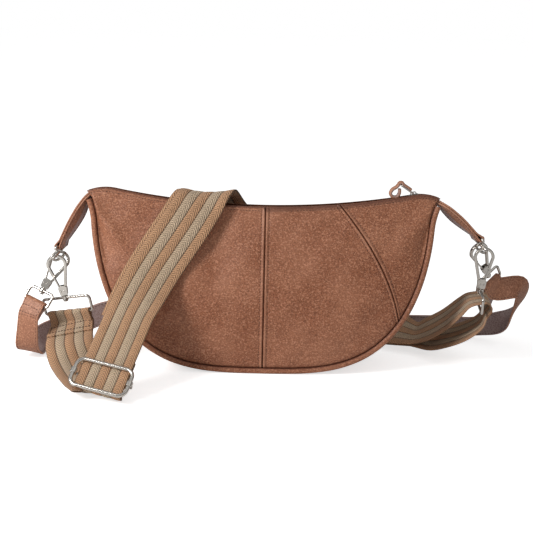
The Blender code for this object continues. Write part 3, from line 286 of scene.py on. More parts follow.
def studs(spots, along, out, shape, faces):
    # one small shape set at many spots: x along the row, z out of the surface, y across
    across = unit(np.cross(out, along))
    grid = (spots[:, None] + shape[None, :, :1] * along[:, None] + shape[None, :, 1:2] * across[:, None]
            + shape[None, :, 2:] * out[:, None])
    shift = np.arange(len(spots))[:, None, None] * len(shape)
    faces = (faces[None] + shift).reshape(-1, faces.shape[1]).tolist()
    return {"points": grid.reshape(-1, 3), "faces": faces, "masks": {}}


def joined(parts):
    # several parts as one: points after points, faces shifted to match
    names = sorted({name for part in parts for name in part["masks"]})
    counts = [len(part["points"]) for part in parts]
    starts = np.concatenate([[0], np.cumsum(counts)]).tolist()
    faces = [[i + start for i in face] for part, start in zip(parts, starts) for face in part["faces"]]
    uv = [part.get("uv", np.zeros((count, 2))) for part, count in zip(parts, counts)]
    masks = {name: np.concatenate([part["masks"].get(name, np.zeros(count)) for part, count in
                                   zip(parts, counts)]) for name in names}
    points = np.concatenate([part["points"] for part in parts])
    return {"points": points, "faces": faces, "uv": np.concatenate(uv), "masks": masks}


def pieceName(node):
    # a node's name as one word: front_piping becomes frontPiping
    first, *rest = node.split("_")
    return first + "".join(word.title() for word in rest)


def addPiece(name, part, material, body, stands=(), sharp=60, bevel=0.0):
    # one finished object: its mesh in place, faces out, on its body, standing for its CAD nodes
    mesh = bpy.data.meshes.new(name)
    mesh.from_pydata(part["points"], [], part["faces"])
    work = bmesh.new()
    work.from_mesh(mesh)
    bmesh.ops.recalc_face_normals(work, faces=work.faces)
    work.to_mesh(mesh)
    work.free()
    if "uv" in part:
        order = np.zeros(len(mesh.loops), int)
        mesh.loops.foreach_get("vertex_index", order)
        mesh.uv_layers.new(name="UVMap").data.foreach_set("uv", part["uv"][order].astype(np.float32).ravel())
    for key, values in part["masks"].items():
        mesh.attributes.new(key, "FLOAT", "POINT").data.foreach_set("value", values.astype(np.float32))
    mesh.shade_smooth()
    mesh.set_sharp_from_angle(angle=math.radians(sharp))
    mesh.materials.append(material)
    piece = bpy.data.objects.new(name, mesh)
    bpy.context.scene.collection.objects.link(piece)
    if bevel:
        rounding = piece.modifiers.new("rounding", "BEVEL")
        rounding.width, rounding.segments, rounding.limit_method = bevel, 2, "ANGLE"
        rounding.angle_limit = math.radians(35)
    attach(piece, body)
    if stands:
        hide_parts(*stands)


def addMetal(name, part, body, node, sharp=60, bevel=0.0):
    # a piece in plated metal for one CAD node
    addPiece(name, part, nickel, body, (node,), sharp, bevel)


# shader nodes and the groups that several materials share

def feed(tree, made, **inputs):
    # a node's sockets, named or as i0, i1 and so on, each set to a value or linked to an output
    for key, value in inputs.items():
        socket = made.inputs[int(key[1:])] if key[1:].isdigit() else made.inputs[key.replace("_", " ")]
        if isinstance(value, bpy.types.NodeSocket):
            tree.links.new(value, socket)
        else:
            socket.default_value = value
    return made


def node(tree, kind, settings=None, **inputs):
    # a new node with its settings and sockets
    made = tree.nodes.new("ShaderNode" + kind)
    for key, value in (settings or {}).items():
        setattr(made, key, value)
    return feed(tree, made, **inputs)


def sums(tree, operation, a, b=0.0, c=0.0):
    # one math node
    return node(tree, "Math", {"operation": operation}, i0=a, i1=b, i2=c).outputs[0]


def scaled(tree, value, factor, plus=0.0):
    # value times factor, plus something
    return sums(tree, "MULTIPLY_ADD", value, factor, plus)


def ramp(tree, factor, low, high):
    # factor spread from low to high onto 0 to 1, eased
    return node(tree, "MapRange", {"interpolation_type": "SMOOTHSTEP"}, Value=factor, From_Min=low,
                From_Max=high).outputs[0]


def noise(tree, place, scale, detail=2.0, rough=0.5):
    # soft random values between 0 and 1
    return node(tree, "TexNoise", Vector=place, Scale=scale, Detail=detail, Roughness=rough).outputs["Fac"]


def mask(tree, name):
    # one of the piece's own point values
    return node(tree, "Attribute", {"attribute_name": name}).outputs["Fac"]


def mixColour(tree, factor, a, b, blend="MIX"):
    # two colours mixed by a factor
    return node(tree, "Mix", {"data_type": "RGBA", "blend_type": blend}, i0=factor, i6=a, i7=b).outputs[2]


def tint(colour, share=1.0):
    # a colour, or a darker one of the same hue, with full alpha
    return tuple(share * c for c in colour) + (1,)


def newGroup(name, inputs, outputs):
    # an empty node group: inputs that start as None are vectors, all the rest are numbers
    tree = bpy.data.node_groups.new(name, "ShaderNodeTree")
    for label, value in inputs.items():
        kind = "NodeSocketVector" if value is None else "NodeSocketFloat"
        socket = tree.interface.new_socket(label, in_out="INPUT", socket_type=kind)
        if value is not None:
            socket.default_value = value
    for label in outputs:
        tree.interface.new_socket(label, in_out="OUTPUT", socket_type="NodeSocketFloat")
    return tree, tree.nodes.new("NodeGroupInput").outputs, tree.nodes.new("NodeGroupOutput")


grainLooks = {"wander": 220.0, "bend": 0.0012, "merge": 0.55, "fine": 1500.0, "pores": 820.0,
              "poreRange": (0.36, 0.62), "flecks": 620.0, "fleckRange": (0.50, 0.64), "drift": 21.0,
              "driftRange": (0.32, 0.70)}
weaveLooks = {"lean": 3.6, "yarns": 9, "yarnShare": 0.12, "grooveFrom": 0.40, "grooveDrop": 0.8}


def grainGroup(looks):
    # leather grain: rounded cells with creases between them, darker pores, pale flecks and a slow drift
    tree, source, target = newGroup("leatherGrain", {"Vector": None, "Cells": 700.0},
                                    ("Height", "Speckle", "Fleck", "Tone"))
    place = source["Vector"]
    wander = node(tree, "TexNoise", Vector=place, Scale=looks["wander"], Detail=2.0).outputs["Color"]
    bent = node(tree, "VectorMath", {"operation": "MULTIPLY_ADD"}, i0=wander, i1=(looks["bend"],) * 3,
                i2=place).outputs[0]
    pebble = node(tree, "TexVoronoi", {"feature": "SMOOTH_F1"}, Vector=bent, Scale=source["Cells"],
                  Smoothness=looks["merge"]).outputs["Distance"]
    stretched = node(tree, "Mapping", Vector=bent, Location=(3.1, 1.7, 0.4),
                     Scale=(0.8, 1.0, 1.15)).outputs[0]
    fine = noise(tree, place, looks["fine"], 3.0, 0.6)
    pores = noise(tree, bent, looks["pores"], 3.0, 0.6)
    flecks = noise(tree, stretched, looks["flecks"], 2.0, 0.55)
    drift = noise(tree, place, looks["drift"], 4.0)
    feed(tree, target, Height=scaled(tree, fine, 0.5, sums(tree, "SUBTRACT", 1.0, pebble)),
         Speckle=ramp(tree, pores, *looks["poreRange"]), Fleck=ramp(tree, flecks, *looks["fleckRange"]),
         Tone=ramp(tree, drift, *looks["driftRange"]))
    return tree


def scuffGroup():
    # thin scratches and smudges for metal: noise read plain and stretched
    tree, source, target = newGroup("metalScuffs", {"Vector": None}, ("Smudge", "Scratch"))
    thin = node(tree, "Mapping", Vector=source["Vector"], Scale=(400.0, 2600.0, 900.0)).outputs[0]
    feed(tree, target, Smudge=noise(tree, source["Vector"], 160.0, 4.0), Scratch=noise(tree, thin, 1.0))
    return tree


def herringboneGroup(looks):
    # strap weave on U across and V along: five stripes, grooves between them, ribs that lean both ways, and a
    # value that falls across each stripe, for a painted side light
    tree, source, target = newGroup("herringbone", {"U": 0.0, "V": 0.0, "Stripes": 5.0, "Rib": 0.0016},
                                    ("Stripe", "Height", "Groove", "Flank"))
    across = scaled(tree, source["U"], source["Stripes"])
    share = sums(tree, "FRACT", across)
    lean = sums(tree, "ABSOLUTE", sums(tree, "SUBTRACT", share, 0.5))
    phase = scaled(tree, lean, looks["lean"], sums(tree, "DIVIDE", source["V"], source["Rib"]))
    rib = scaled(tree, sums(tree, "SINE", scaled(tree, phase, 2 * math.pi)), 0.5, 0.5)
    yarn = sums(tree, "SINE", scaled(tree, across, 2 * math.pi * looks["yarns"]))
    height = scaled(tree, yarn, looks["yarnShare"], rib)
    groove = ramp(tree, lean, looks["grooveFrom"], 0.5)
    feed(tree, target, Stripe=sums(tree, "MODULO", sums(tree, "FLOOR", across), 2.0), Groove=groove,
         Height=sums(tree, "SUBTRACT", height, scaled(tree, groove, looks["grooveDrop"])),
         Flank=sums(tree, "SUBTRACT", 0.5, share))
    return tree


grain = grainGroup(grainLooks)
scuffs = scuffGroup()
herringbone = herringboneGroup(weaveLooks)


# materials

def newMaterial(name, **sockets):
    # a material with its shader's sockets set and its coordinates ready
    material = bpy.data.materials.new(name)
    material.use_nodes = True
    tree = material.node_tree
    shader = feed(tree, tree.nodes["Principled BSDF"], **sockets)
    return material, tree, shader, tree.nodes.new("ShaderNodeTexCoord").outputs


def dress(tree, shader, tone, height, depth, strength=1.0):
    # the colour and a height in the shader's normal
    bump = node(tree, "Bump", Strength=strength, Distance=depth, Height=height).outputs[0]
    feed(tree, shader, Base_Color=tone, Normal=bump)


# the darkest colour here is for painted shade along seams, piping, the gusset's edges and under the mouth's
# edge
leatherLooks = {"base": (0.345, 0.120, 0.053, 1), "dark": (0.165, 0.048, 0.018, 1),
                "light": (0.68, 0.320, 0.185, 1), "edge": (0.58, 0.290, 0.180, 1),
                "crease": (0.100, 0.030, 0.016, 1), "cells": 760.0, "grainDepth": 0.0004, "roughness": 0.52,
                "drift": 0.22, "fleck": 0.50}
strapLooks = dict(leatherLooks, base=(0.355, 0.145, 0.076, 1), dark=(0.22, 0.080, 0.040, 1), cells=900.0,
                  grainDepth=0.00022, roughness=0.5, suede=(0.47, 0.355, 0.335, 1),
                  suedeDark=(0.30, 0.195, 0.180, 1))
# groove is the colour of the painted shade in the grooves between stripes
webbingLooks = {"brown": (0.590, 0.335, 0.187, 1), "beige": (0.610, 0.455, 0.310, 1),
                "groove": (0.16, 0.085, 0.045, 1), "grooveShade": 0.45, "rib": 0.0028, "ribDepth": 0.0008,
                "ribShade": 0.56, "flank": 0.20, "fuzz": 0.40, "drift": 0.2, "lowest": 0.34,
                "roughness": 0.82}
nickelLooks = {"colour": (0.61, 0.57, 0.52), "roughness": 0.20, "dull": 0.86, "smudgeRange": (0.45, 0.75),
               "scratchDepth": 0.000004}


def leatherMaterial(name, looks):
    # pebbled leather: pores darken it, a slow drift lightens it, edges are worn lighter, and painted shade
    # darkens it along seams, piping and the mouth's edge;
    # where the piece's mask "inside" is set, its suede back shows
    material, tree, shader, where = newMaterial(name)
    made = node(tree, "Group", {"node_tree": grain}, Vector=where["Object"], Cells=looks["cells"]).outputs
    tone = mixColour(tree, made["Speckle"], looks["dark"], looks["base"])
    tone = mixColour(tree, scaled(tree, made["Fleck"], looks["fleck"]), tone, looks["light"])
    tone = mixColour(tree, scaled(tree, made["Tone"], looks["drift"]), tone, looks["light"])
    patchy = scaled(tree, mask(tree, "wear"), scaled(tree, made["Tone"], 0.5, 0.35))
    tone = mixColour(tree, patchy, tone, looks["edge"])
    # painted shade: darkened towards the darkest colour where the piece's shade mask is set
    tone = mixColour(tree, mask(tree, "crease"), tone, looks["crease"])
    if "suede" in looks:
        nap = mixColour(tree, made["Speckle"], looks["suedeDark"], looks["suede"])
        tone = mixColour(tree, mask(tree, "inside"), tone, nap)
    feed(tree, shader, Roughness=scaled(tree, made["Speckle"], -0.12, looks["roughness"] + 0.08))
    dress(tree, shader, tone, made["Height"], looks["grainDepth"], 0.8)
    return material


def webbingMaterial(name, looks):
    # five woven stripes, brown and beige by turns; painted shade in the grooves and where the ribs are low,
    # and a painted side light that makes each stripe lighter at one edge and darker at the other
    material, tree, shader, where = newMaterial(name, Roughness=looks["roughness"], Specular_IOR_Level=0.2,
                                                Sheen_Weight=0.15, Sheen_Roughness=0.5)
    spot = node(tree, "SeparateXYZ", Vector=where["UV"]).outputs
    made = node(tree, "Group", {"node_tree": herringbone}, U=spot["X"], V=spot["Y"], Rib=looks["rib"]).outputs
    fuzz = noise(tree, where["Object"], 1400.0, 3.0)
    drift = noise(tree, where["Object"], 60.0, 3.0)
    shade = scaled(tree, fuzz, looks["fuzz"], looks["lowest"])
    # painted shade: darker where the ribs are low
    shade = scaled(tree, made["Height"], looks["ribShade"], shade)
    shade = scaled(tree, drift, looks["drift"], shade)
    # painted side light: each stripe lighter at one edge, darker at the other
    shade = scaled(tree, made["Flank"], looks["flank"], shade)
    grey = node(tree, "CombineColor", Red=shade, Green=shade, Blue=shade).outputs[0]
    tone = mixColour(tree, made["Stripe"], looks["brown"], looks["beige"])
    tone = mixColour(tree, 1.0, tone, grey, "MULTIPLY")
    # painted shade in the grooves between stripes
    tone = mixColour(tree, scaled(tree, made["Groove"], looks["grooveShade"]), tone, looks["groove"])
    dress(tree, shader, tone, scaled(tree, fuzz, 0.3, made["Height"]), looks["ribDepth"])
    return material


def metalMaterial(name, looks):
    # plated metal: smudges change how sharp it shines, fine scratches dent it
    material, tree, shader, where = newMaterial(name, Metallic=1.0)
    made = node(tree, "Group", {"node_tree": scuffs}, Vector=where["Object"]).outputs
    feed(tree, shader, Roughness=scaled(tree, made["Smudge"], 0.12, looks["roughness"] - 0.05))
    tone = mixColour(tree, ramp(tree, made["Smudge"], *looks["smudgeRange"]), tint(looks["colour"]),
                     tint(looks["colour"], looks["dull"]))
    dress(tree, shader, tone, made["Scratch"], looks["scratchDepth"])
    return material


def clothMaterial(name, colour, threads, roughness=0.9):
    # plain weave: two crossed waves on object coordinates over a soft mottle
    material, tree, shader, where = newMaterial(name, Roughness=roughness, Specular_IOR_Level=0.2)
    spot = node(tree, "SeparateXYZ", Vector=where["Object"]).outputs
    waves = [sums(tree, "SINE", scaled(tree, spot[axis], 2 * math.pi * threads)) for axis in "XZ"]
    weave = scaled(tree, scaled(tree, *waves), 0.5, 0.5)
    shade = scaled(tree, noise(tree, where["Object"], 300.0, 3.0), 0.5, scaled(tree, weave, 0.5))
    dress(tree, shader, mixColour(tree, shade, tint(colour, 0.55), tint(colour)), weave, 0.0002)
    return material


def threadMaterial(name, colour):
    # waxed sewing thread with a fine twist
    material, tree, shader, where = newMaterial(name, Roughness=0.6)
    twist = noise(tree, where["Object"], 2600.0)
    dress(tree, shader, mixColour(tree, twist, tint(colour, 0.5), tint(colour)), twist, 0.0001)
    return material


bagLeather = leatherMaterial("bagLeather", leatherLooks)
edgeLeather = leatherMaterial("edgeLeather", dict(leatherLooks, cells=1100.0, grainDepth=0.0002))
strapLeather = leatherMaterial("strapLeather", strapLooks)
striped = webbingMaterial("stripedWebbing", webbingLooks)
nickel = metalMaterial("lightNickel", nickelLooks)
zipCloth = clothMaterial("zipCloth", (0.20, 0.095, 0.060), 1400.0)
zipNylon = clothMaterial("zipNylon", (0.17, 0.080, 0.050), 900.0, 0.45)
liningCloth = clothMaterial("liningCloth", (0.25, 0.17, 0.13), 1100.0)
bagThread = threadMaterial("bagThread", (0.13, 0.050, 0.028))
strapThread = threadMaterial("strapThread", (0.10, 0.045, 0.028))
print("materials ready")


# the bag's shape, as the frame has it

bag = {"halfWidth": 0.1755, "height": 0.174, "sidePower": 3.26, "dropPower": 2.15, "baseHalfDepth": 0.042,
       "mouthHalfDepth": 0.0072, "mouthHeight": 0.167, "mouthRadius": 0.778, "belly": 0.011,
       "bellyScale": 0.61, "cornerFlare": 0.006, "flareHeight": 0.026, "cornerDrop": 0.010,
       "cornerRound": 0.86, "leather": 0.002, "piping": 0.003, "pipingGap": 0.0001, "middleSeam": 0.014,
       "seamMouth": 0.443, "seamFoot": 0.800, "seamBow": 0.058}
panelInset = 2 * bag["piping"] + bag["pipingGap"]


def mouthLine(x):
    # a shallow circle arc that drops by a square law past the corners
    x = np.abs(x)
    arc = bag["mouthHeight"] + bag["mouthRadius"] - np.sqrt(bag["mouthRadius"] ** 2 - x ** 2)
    start = bag["cornerRound"] * bag["halfWidth"]
    over = np.clip((x - start) / (bag["halfWidth"] + bag["cornerFlare"] - start), 0.0, None)
    return arc - bag["cornerDrop"] * over ** 2


def outlineCurve(inset, count):
    # superellipse half moon, flared at the top, read evenly and moved in along its own normal
    angle = np.linspace(0.0, math.pi, 1441)
    cosine, sine = np.cos(angle), np.sin(angle).clip(0.0)
    x = bag["halfWidth"] * np.sign(cosine) * np.abs(cosine) ** (2 / bag["sidePower"])
    z = bag["height"] * (1.0 - sine ** (2 / bag["dropPower"]))
    rise = np.clip((z - bag["height"] + bag["flareHeight"]) / bag["flareHeight"], 0.0, None)
    curve = np.stack([x + np.sign(x) * bag["cornerFlare"] * rise ** 2, z], axis=1)
    curve = evenly(curve, np.linspace(0.0, runLength(curve)[-1], count))
    slope = unit(np.gradient(curve, axis=0))
    return curve + inset * np.stack([slope[:, 1], -slope[:, 0]], axis=1)


def halfDepth(z):
    # straight wedge from the base's half depth to the mouth's
    share = np.clip(1.0 - z / (bag["height"] + bag["cornerDrop"] / 2), 0.0, None)
    return bag["mouthHalfDepth"] + (bag["baseHalfDepth"] - bag["mouthHalfDepth"]) * share


def faceDepth(x, z):
    # the wedge plus a belly that fades to the outline and to the mouth
    edge = (np.abs(x) / bag["halfWidth"]) ** bag["sidePower"]
    edge = edge + (np.clip(bag["height"] - z, 0.0, None) / bag["height"]) ** bag["dropPower"]
    inside = np.clip(1.0 - edge, 0.0, 1.0) ** 0.75
    below = np.clip(1.0 - (z / mouthLine(x)) ** 2, 0.0, 1.0)
    return halfDepth(z) + bag["belly"] * inside * below / bag["bellyScale"]


# folds: from x, z to x, z, how wide and how far they stand out of the leather
frontFolds = (((-0.178, 0.172), (-0.130, 0.115), 0.0058, 0.0036),
              ((-0.174, 0.154), (-0.150, 0.100), 0.007, -0.0026),
              ((0.172, 0.172), (0.125, 0.115), 0.010, 0.0028),
              ((0.170, 0.150), (0.158, 0.100), 0.006, -0.0022),
              ((-0.052, 0.158), (-0.044, 0.062), 0.020, -0.0034),
              ((0.060, 0.050), (0.130, 0.075), 0.020, 0.0010),
              ((-0.090, 0.030), (0.010, 0.020), 0.016, 0.0009))
backFolds = (((-0.168, 0.172), (-0.110, 0.110), 0.010, 0.0018),
             ((0.170, 0.172), (0.118, 0.108), 0.010, 0.0020),
             ((-0.060, 0.060), (0.070, 0.045), 0.022, 0.0012),
             ((-0.020, 0.160), (0.030, 0.110), 0.018, -0.0014))
frontSide, backSide = (-1, frontFolds, 0.0), (1, backFolds, 1.3)  # side, folds, start of the sag's waves


def softness(x, z, folds, phase):
    # folds as bells round short lines, fading at their ends, plus a slow uneven sag
    total = 0.0004 * np.sin(x * 71 + phase) * np.sin(z * 93 + 2 * phase) + 0.00025 * np.sin(x * 163 - z * 127)
    for start, end, width, rise in folds:
        line = np.subtract(end, start)
        share = ((x - start[0]) * line[0] + (z - start[1]) * line[1]) / (line @ line)
        off = np.hypot(x - start[0] - share * line[0], z - start[1] - share * line[1])
        total = total + rise * bell(off, width) * ease(share / 0.2 + 0.5) * ease((1 - share) / 0.45)
    return total


def seamLine(mouthShare, footShare, bowShare, v):
    # straight from the piping to the mouth, bowed outwards by a parabola
    border = outlineCurve(panelInset, 721)[::-1]
    middle = border[np.abs(border[:, 0]) < bag["halfWidth"] * 0.97]
    footX, headX = footShare * bag["halfWidth"], mouthShare * bag["halfWidth"]
    foot = np.array([footX, np.interp(footX, middle[:, 0], middle[:, 1])])
    v = v[:, None]
    line = (1 - v) * foot + v * np.array([headX, mouthLine(headX)])
    line[:, 0] += np.sign(footX) * bowShare * bag["halfWidth"] * (4 * v * (1 - v))[:, 0]
    return line


panelMesh = {"height": 0.160, "outerWidth": 0.085, "innerWidth": 0.100, "backWidth": 0.360, "near": 0.007,
             "fine": 14, "up": 60, "across": 44, "backFine": 10, "backAcross": 150, "backDrop": 0.001}
seamLooks = {"ridge": 0.0007, "ridgeAt": 0.0017, "ridgeWidth": 0.0010, "groove": 0.0014, "cut": 0.0006,
             "channel": 0.00035, "stitchAt": 0.0040, "worn": 0.75, "wornWidth": 0.0009, "dark": 0.9}
edgeLooks = {"mouthFade": 0.006, "pipingFade": 0.010, "lipAt": 0.0030, "lipWidth": 0.0012, "lipWorn": 0.25,
             "shadow": 0.0011, "shadowMore": 0.0024, "shadowFrom": 0.10, "shadowRise": 0.05, "foot": 0.0016,
             "dark": 0.85, "turned": 0.0011, "turnWidth": 0.0009, "hem": 0.0034, "hemGroove": 0.0003,
             "hemWidth": 0.0006, "tuck": 0.0020, "tuckReach": 0.0020}
seamStitch = {"pitch": 0.0031, "length": 0.0021, "width": 0.0006, "height": 0.00028, "lift": 0.00005,
              "ends": 0.003}


def edgeSpots(length, fineCount, wideCount):
    # shares from 0 to 1, close together near both ends
    near = panelMesh["near"] / length
    fine = near * np.linspace(0.0, 1.0, fineCount, endpoint=False) ** 1.2
    return np.concatenate([fine, np.linspace(near, 1 - near, wideCount), 1 - fine[::-1]])


def panelGrid(left, right, u, v):
    # Coons patch between the lower border, the mouth and two seams, or the corner where a seam is None
    border = outlineCurve(panelInset, 1441)[::-1]
    run = runLength(border)
    inner = slice(40, -40)
    start = 0.0 if left is None else np.interp(left[0, 0], border[inner, 0], run[inner])
    end = run[-1] if right is None else np.interp(right[0, 0], border[inner, 0], run[inner])
    low = evenly(border, start + (end - start) * u)
    cornerX = bag["halfWidth"] + bag["cornerFlare"] - panelInset / 3
    leftX, rightX = -cornerX if left is None else left[-1, 0], cornerX if right is None else right[-1, 0]
    headX = (1 - u) * leftX + u * rightX
    high = np.stack([headX, mouthLine(headX)], axis=1)
    sides = [low[k] * (1 - v[:, None]) + high[k] * v[:, None] if seam is None else seam
             for k, seam in ((0, left), (-1, right))]
    low[0], low[-1] = sides[0][0], sides[1][0]
    u, v = u[None, :, None], v[:, None, None]
    ruled = (1 - v) * low[None] + v * high[None] + (1 - u) * sides[0][:, None] + u * sides[1][:, None]
    corners = (1 - u) * (1 - v) * low[0] + u * (1 - v) * low[-1] + (1 - u) * v * high[0] + u * v * high[-1]
    return ruled - corners


def seamRelief(distance):
    # groove at the seam, a ridge beside it and a shallow channel under the stitches
    looks = seamLooks
    ridge = looks["ridge"] * bell(distance - looks["ridgeAt"], looks["ridgeWidth"])
    return (ridge - looks["groove"] * bell(distance, looks["cut"])
            - looks["channel"] * bell(distance - looks["stitchAt"], looks["cut"]))


def lineOn(grid, distances, wanted):
    # the point of each grid row at a wanted distance, straight between the grid's points
    return np.stack([[np.interp(wanted, d, row[:, k]) for k in range(3)] for row, d in zip(grid, distances)])


def panelPart(left, right, u, v, side, folds, phase, drop):
    # leather panel: the face depth plus softness and reliefs along its four edges; also its stitch lines
    looks, sewn = edgeLooks, seamLooks
    grid = panelGrid(left, right, u, v)
    x, z = grid[..., 0], grid[..., 1] - drop * v[:, None] ** 4
    width = np.hypot(np.diff(x, axis=1), np.diff(z, axis=1)).sum(axis=1)[:, None]
    height = np.hypot(np.diff(x, axis=0), np.diff(z, axis=0)).sum(axis=0)[None, :]
    fromLeft, fromRight = u[None, :] * width, (1 - u)[None, :] * width
    fromMouth, fromPiping = (1 - v)[:, None] * height, v[:, None] * height
    smooth = faceDepth(x, z)
    fade = ease(fromMouth / looks["mouthFade"]) * ease(fromPiping / looks["pipingFade"])
    depth = smooth + softness(x, z, folds, phase) * fade
    wear = looks["lipWorn"] * bell(fromMouth - looks["lipAt"], looks["lipWidth"])
    # the shadow under the mouth's edge is wider on the right
    wider = ease((z - looks["shadowFrom"]) / looks["shadowRise"]) * (x > 0)
    shadow = looks["shadow"] + looks["shadowMore"] * wider
    # painted shade: darker along the piping and in a band under the mouth's edge
    crease = looks["dark"] * bell(fromPiping, looks["foot"]) + looks["dark"] * bell(fromMouth, shadow)
    for distance, seam in ((fromLeft, left), (fromRight, right)):
        if seam is not None:
            depth = depth + seamRelief(distance)
            wear = wear + sewn["worn"] * bell(distance - sewn["ridgeAt"], sewn["wornWidth"])
            # painted shade in the seam's groove
            crease = crease + sewn["dark"] * bell(distance, sewn["cut"])
    depth = depth - looks["turned"] * bell(fromMouth, looks["turnWidth"])
    depth = depth - looks["hemGroove"] * bell(fromMouth - looks["hem"], looks["hemWidth"])
    depth = depth - looks["tuck"] * np.exp(-fromPiping / looks["tuckReach"])
    outer = np.stack([x, side * depth, z], axis=-1)
    inner = np.stack([x, side * (np.minimum(depth, smooth) - bag["leather"]), z], axis=-1)
    lines = [] if left is None else [lineOn(outer, fromLeft, sewn["stitchAt"])]
    if right is not None:
        lines.append(lineOn(outer[:, ::-1], fromRight[:, ::-1], sewn["stitchAt"]))
    lines.append(lineOn(outer[::-1].transpose(1, 0, 2), fromMouth[::-1].T, looks["hem"]))
    masks = {"wear": (np.clip(wear, 0, 1), 0.0), "crease": (np.clip(crease, 0, 1), 0.0)}
    return shellPart(outer, inner, masks=masks), lines


def stitchShape(length, width, height):
    # a short rounded thread: six-sided rings that swell in the middle
    x = np.array([-0.5, -0.32, 0.0, 0.32, 0.5]) * length
    size = np.array([0.25, 0.9, 1.0, 0.9, 0.25])[:, None]
    ring = circle(1.0, 6)
    points = np.stack([np.broadcast_to(x[:, None], (5, 6)), size * ring[:, 0] * width / 2,
                       size * ring[:, 1] * height], axis=-1).reshape(-1, 3)
    caps = np.array([[3, 2, 1, 0], [5, 4, 3, 0], [24, 25, 26, 27], [24, 27, 28, 29]])
    return points, np.concatenate([ringFaces(5, 6), caps])


def stitchRow(line, out, looks):
    # stitches one pitch apart along a line on the surface
    pitch, ends, total = looks["pitch"], looks["ends"], runLength(line)[-1]
    if total < 2 * ends + pitch:
        return []
    spots = np.arange(ends, total - ends, pitch)
    both = evenly(np.concatenate([line, np.broadcast_to(out, line.shape)], axis=1), spots)
    before, after = [evenly(line, np.clip(spots + side * pitch / 4, 0, total)) for side in (-1, 1)]
    ahead = after - before
    out = unit(both[:, 3:])
    along = unit(ahead - np.sum(ahead * out, axis=1, keepdims=True) * out)
    shape, faces = stitchShape(looks["length"], looks["width"], looks["height"])
    return [studs(both[:, :3] + out * looks["lift"], along, out, shape, faces)]


def buildPanels():
    # four front panels, one back panel and the stitches along their seams and hems
    looks = panelMesh
    v = edgeSpots(looks["height"], looks["fine"], looks["up"])
    outerU = edgeSpots(looks["outerWidth"], looks["fine"], looks["across"])
    innerU = edgeSpots(looks["innerWidth"], looks["fine"], looks["across"])
    backU = edgeSpots(looks["backWidth"], looks["backFine"], looks["backAcross"])
    middle = seamLine(bag["middleSeam"], bag["middleSeam"], 0.0, v)
    right = seamLine(bag["seamMouth"], bag["seamFoot"], bag["seamBow"], v)
    left = right * (-1, 1)
    threads = []
    for name, stands, start, end, u, (side, folds, phase), drop in (
            ("panel1", "front_panel_outer_left", None, left, outerU, frontSide, 0.0),
            ("panel2", "front_panel_inner_left", left, middle, innerU, frontSide, 0.0),
            ("panel3", "front_panel_inner_right", middle, right, innerU, frontSide, 0.0),
            ("panel4", "front_panel_outer_right", right, None, outerU, frontSide, 0.0),
            ("backPanel", "back_panel", None, None, backU, backSide, looks["backDrop"])):
        part, lines = panelPart(start, end, u, v, side, folds, phase, drop)
        addPiece(name, part, bagLeather, "bag", (stands,), sharp=75)
        for line in lines:
            threads += stitchRow(line, (0.0, side, 0.0), seamStitch)
    addPiece("bagStitches", joined(threads), bagThread, "bag", sharp=40)


pipingLooks = {"count": 420, "sides": 20, "trim": 3, "pucker": 0.018, "fine": 2100, "slow": 370,
               "pinch": 0.02, "pinches": 95, "worn": 0.25, "dark": 0.7}


def buildPiping():
    # a round cord just inside the outline on each side, its leather puckered by the product of two waves
    looks, sides = pipingLooks, pipingLooks["sides"]
    curve, inside = outlineCurve(bag["piping"], looks["count"]), slice(looks["trim"], -looks["trim"])
    for name, side in (("front_piping", -1), ("back_piping", 1)):
        path = flatPath(curve) + np.multiply.outer(side * halfDepth(curve[:, 1]), (0.0, 1.0, 0.0))
        along = unit(np.gradient(path, axis=0))
        outward = unit(np.cross(along, (0.0, 1.0, 0.0)))
        across = unit(np.cross(outward, along))
        run = runLength(path)
        size = 1.0 + looks["pucker"] * np.sin(run * looks["fine"]) * np.sin(run * looks["slow"])
        size = size - looks["pinch"] * (1 - np.sin(run * looks["pinches"]) ** 2)
        part = sweepPart(path[inside], outward[inside], across[inside], circle(bag["piping"], sides),
                         scale=size[inside])
        angle = np.tile(np.linspace(0.0, 2 * math.pi, sides, endpoint=False), len(path[inside]))
        # worn lighter on the cord's outer side; painted shade on its inner side, where it meets the panel
        part["masks"] = {"wear": np.clip(np.cos(angle), 0, 1) ** 2 * looks["worn"],
                         "crease": bell(angle - math.pi, looks["dark"])}
        addPiece(pieceName(name), part, edgeLeather, "bag", (name,), sharp=40)


gussetLooks = {"rows": 260, "columns": 25, "trim": 10, "sag": 0.0016, "freeAbove": 0.030, "waves": 34,
               "dark": 0.8, "darkWidth": 0.0014, "worn": 0.3, "wornAt": 0.003, "wornWidth": 0.001}


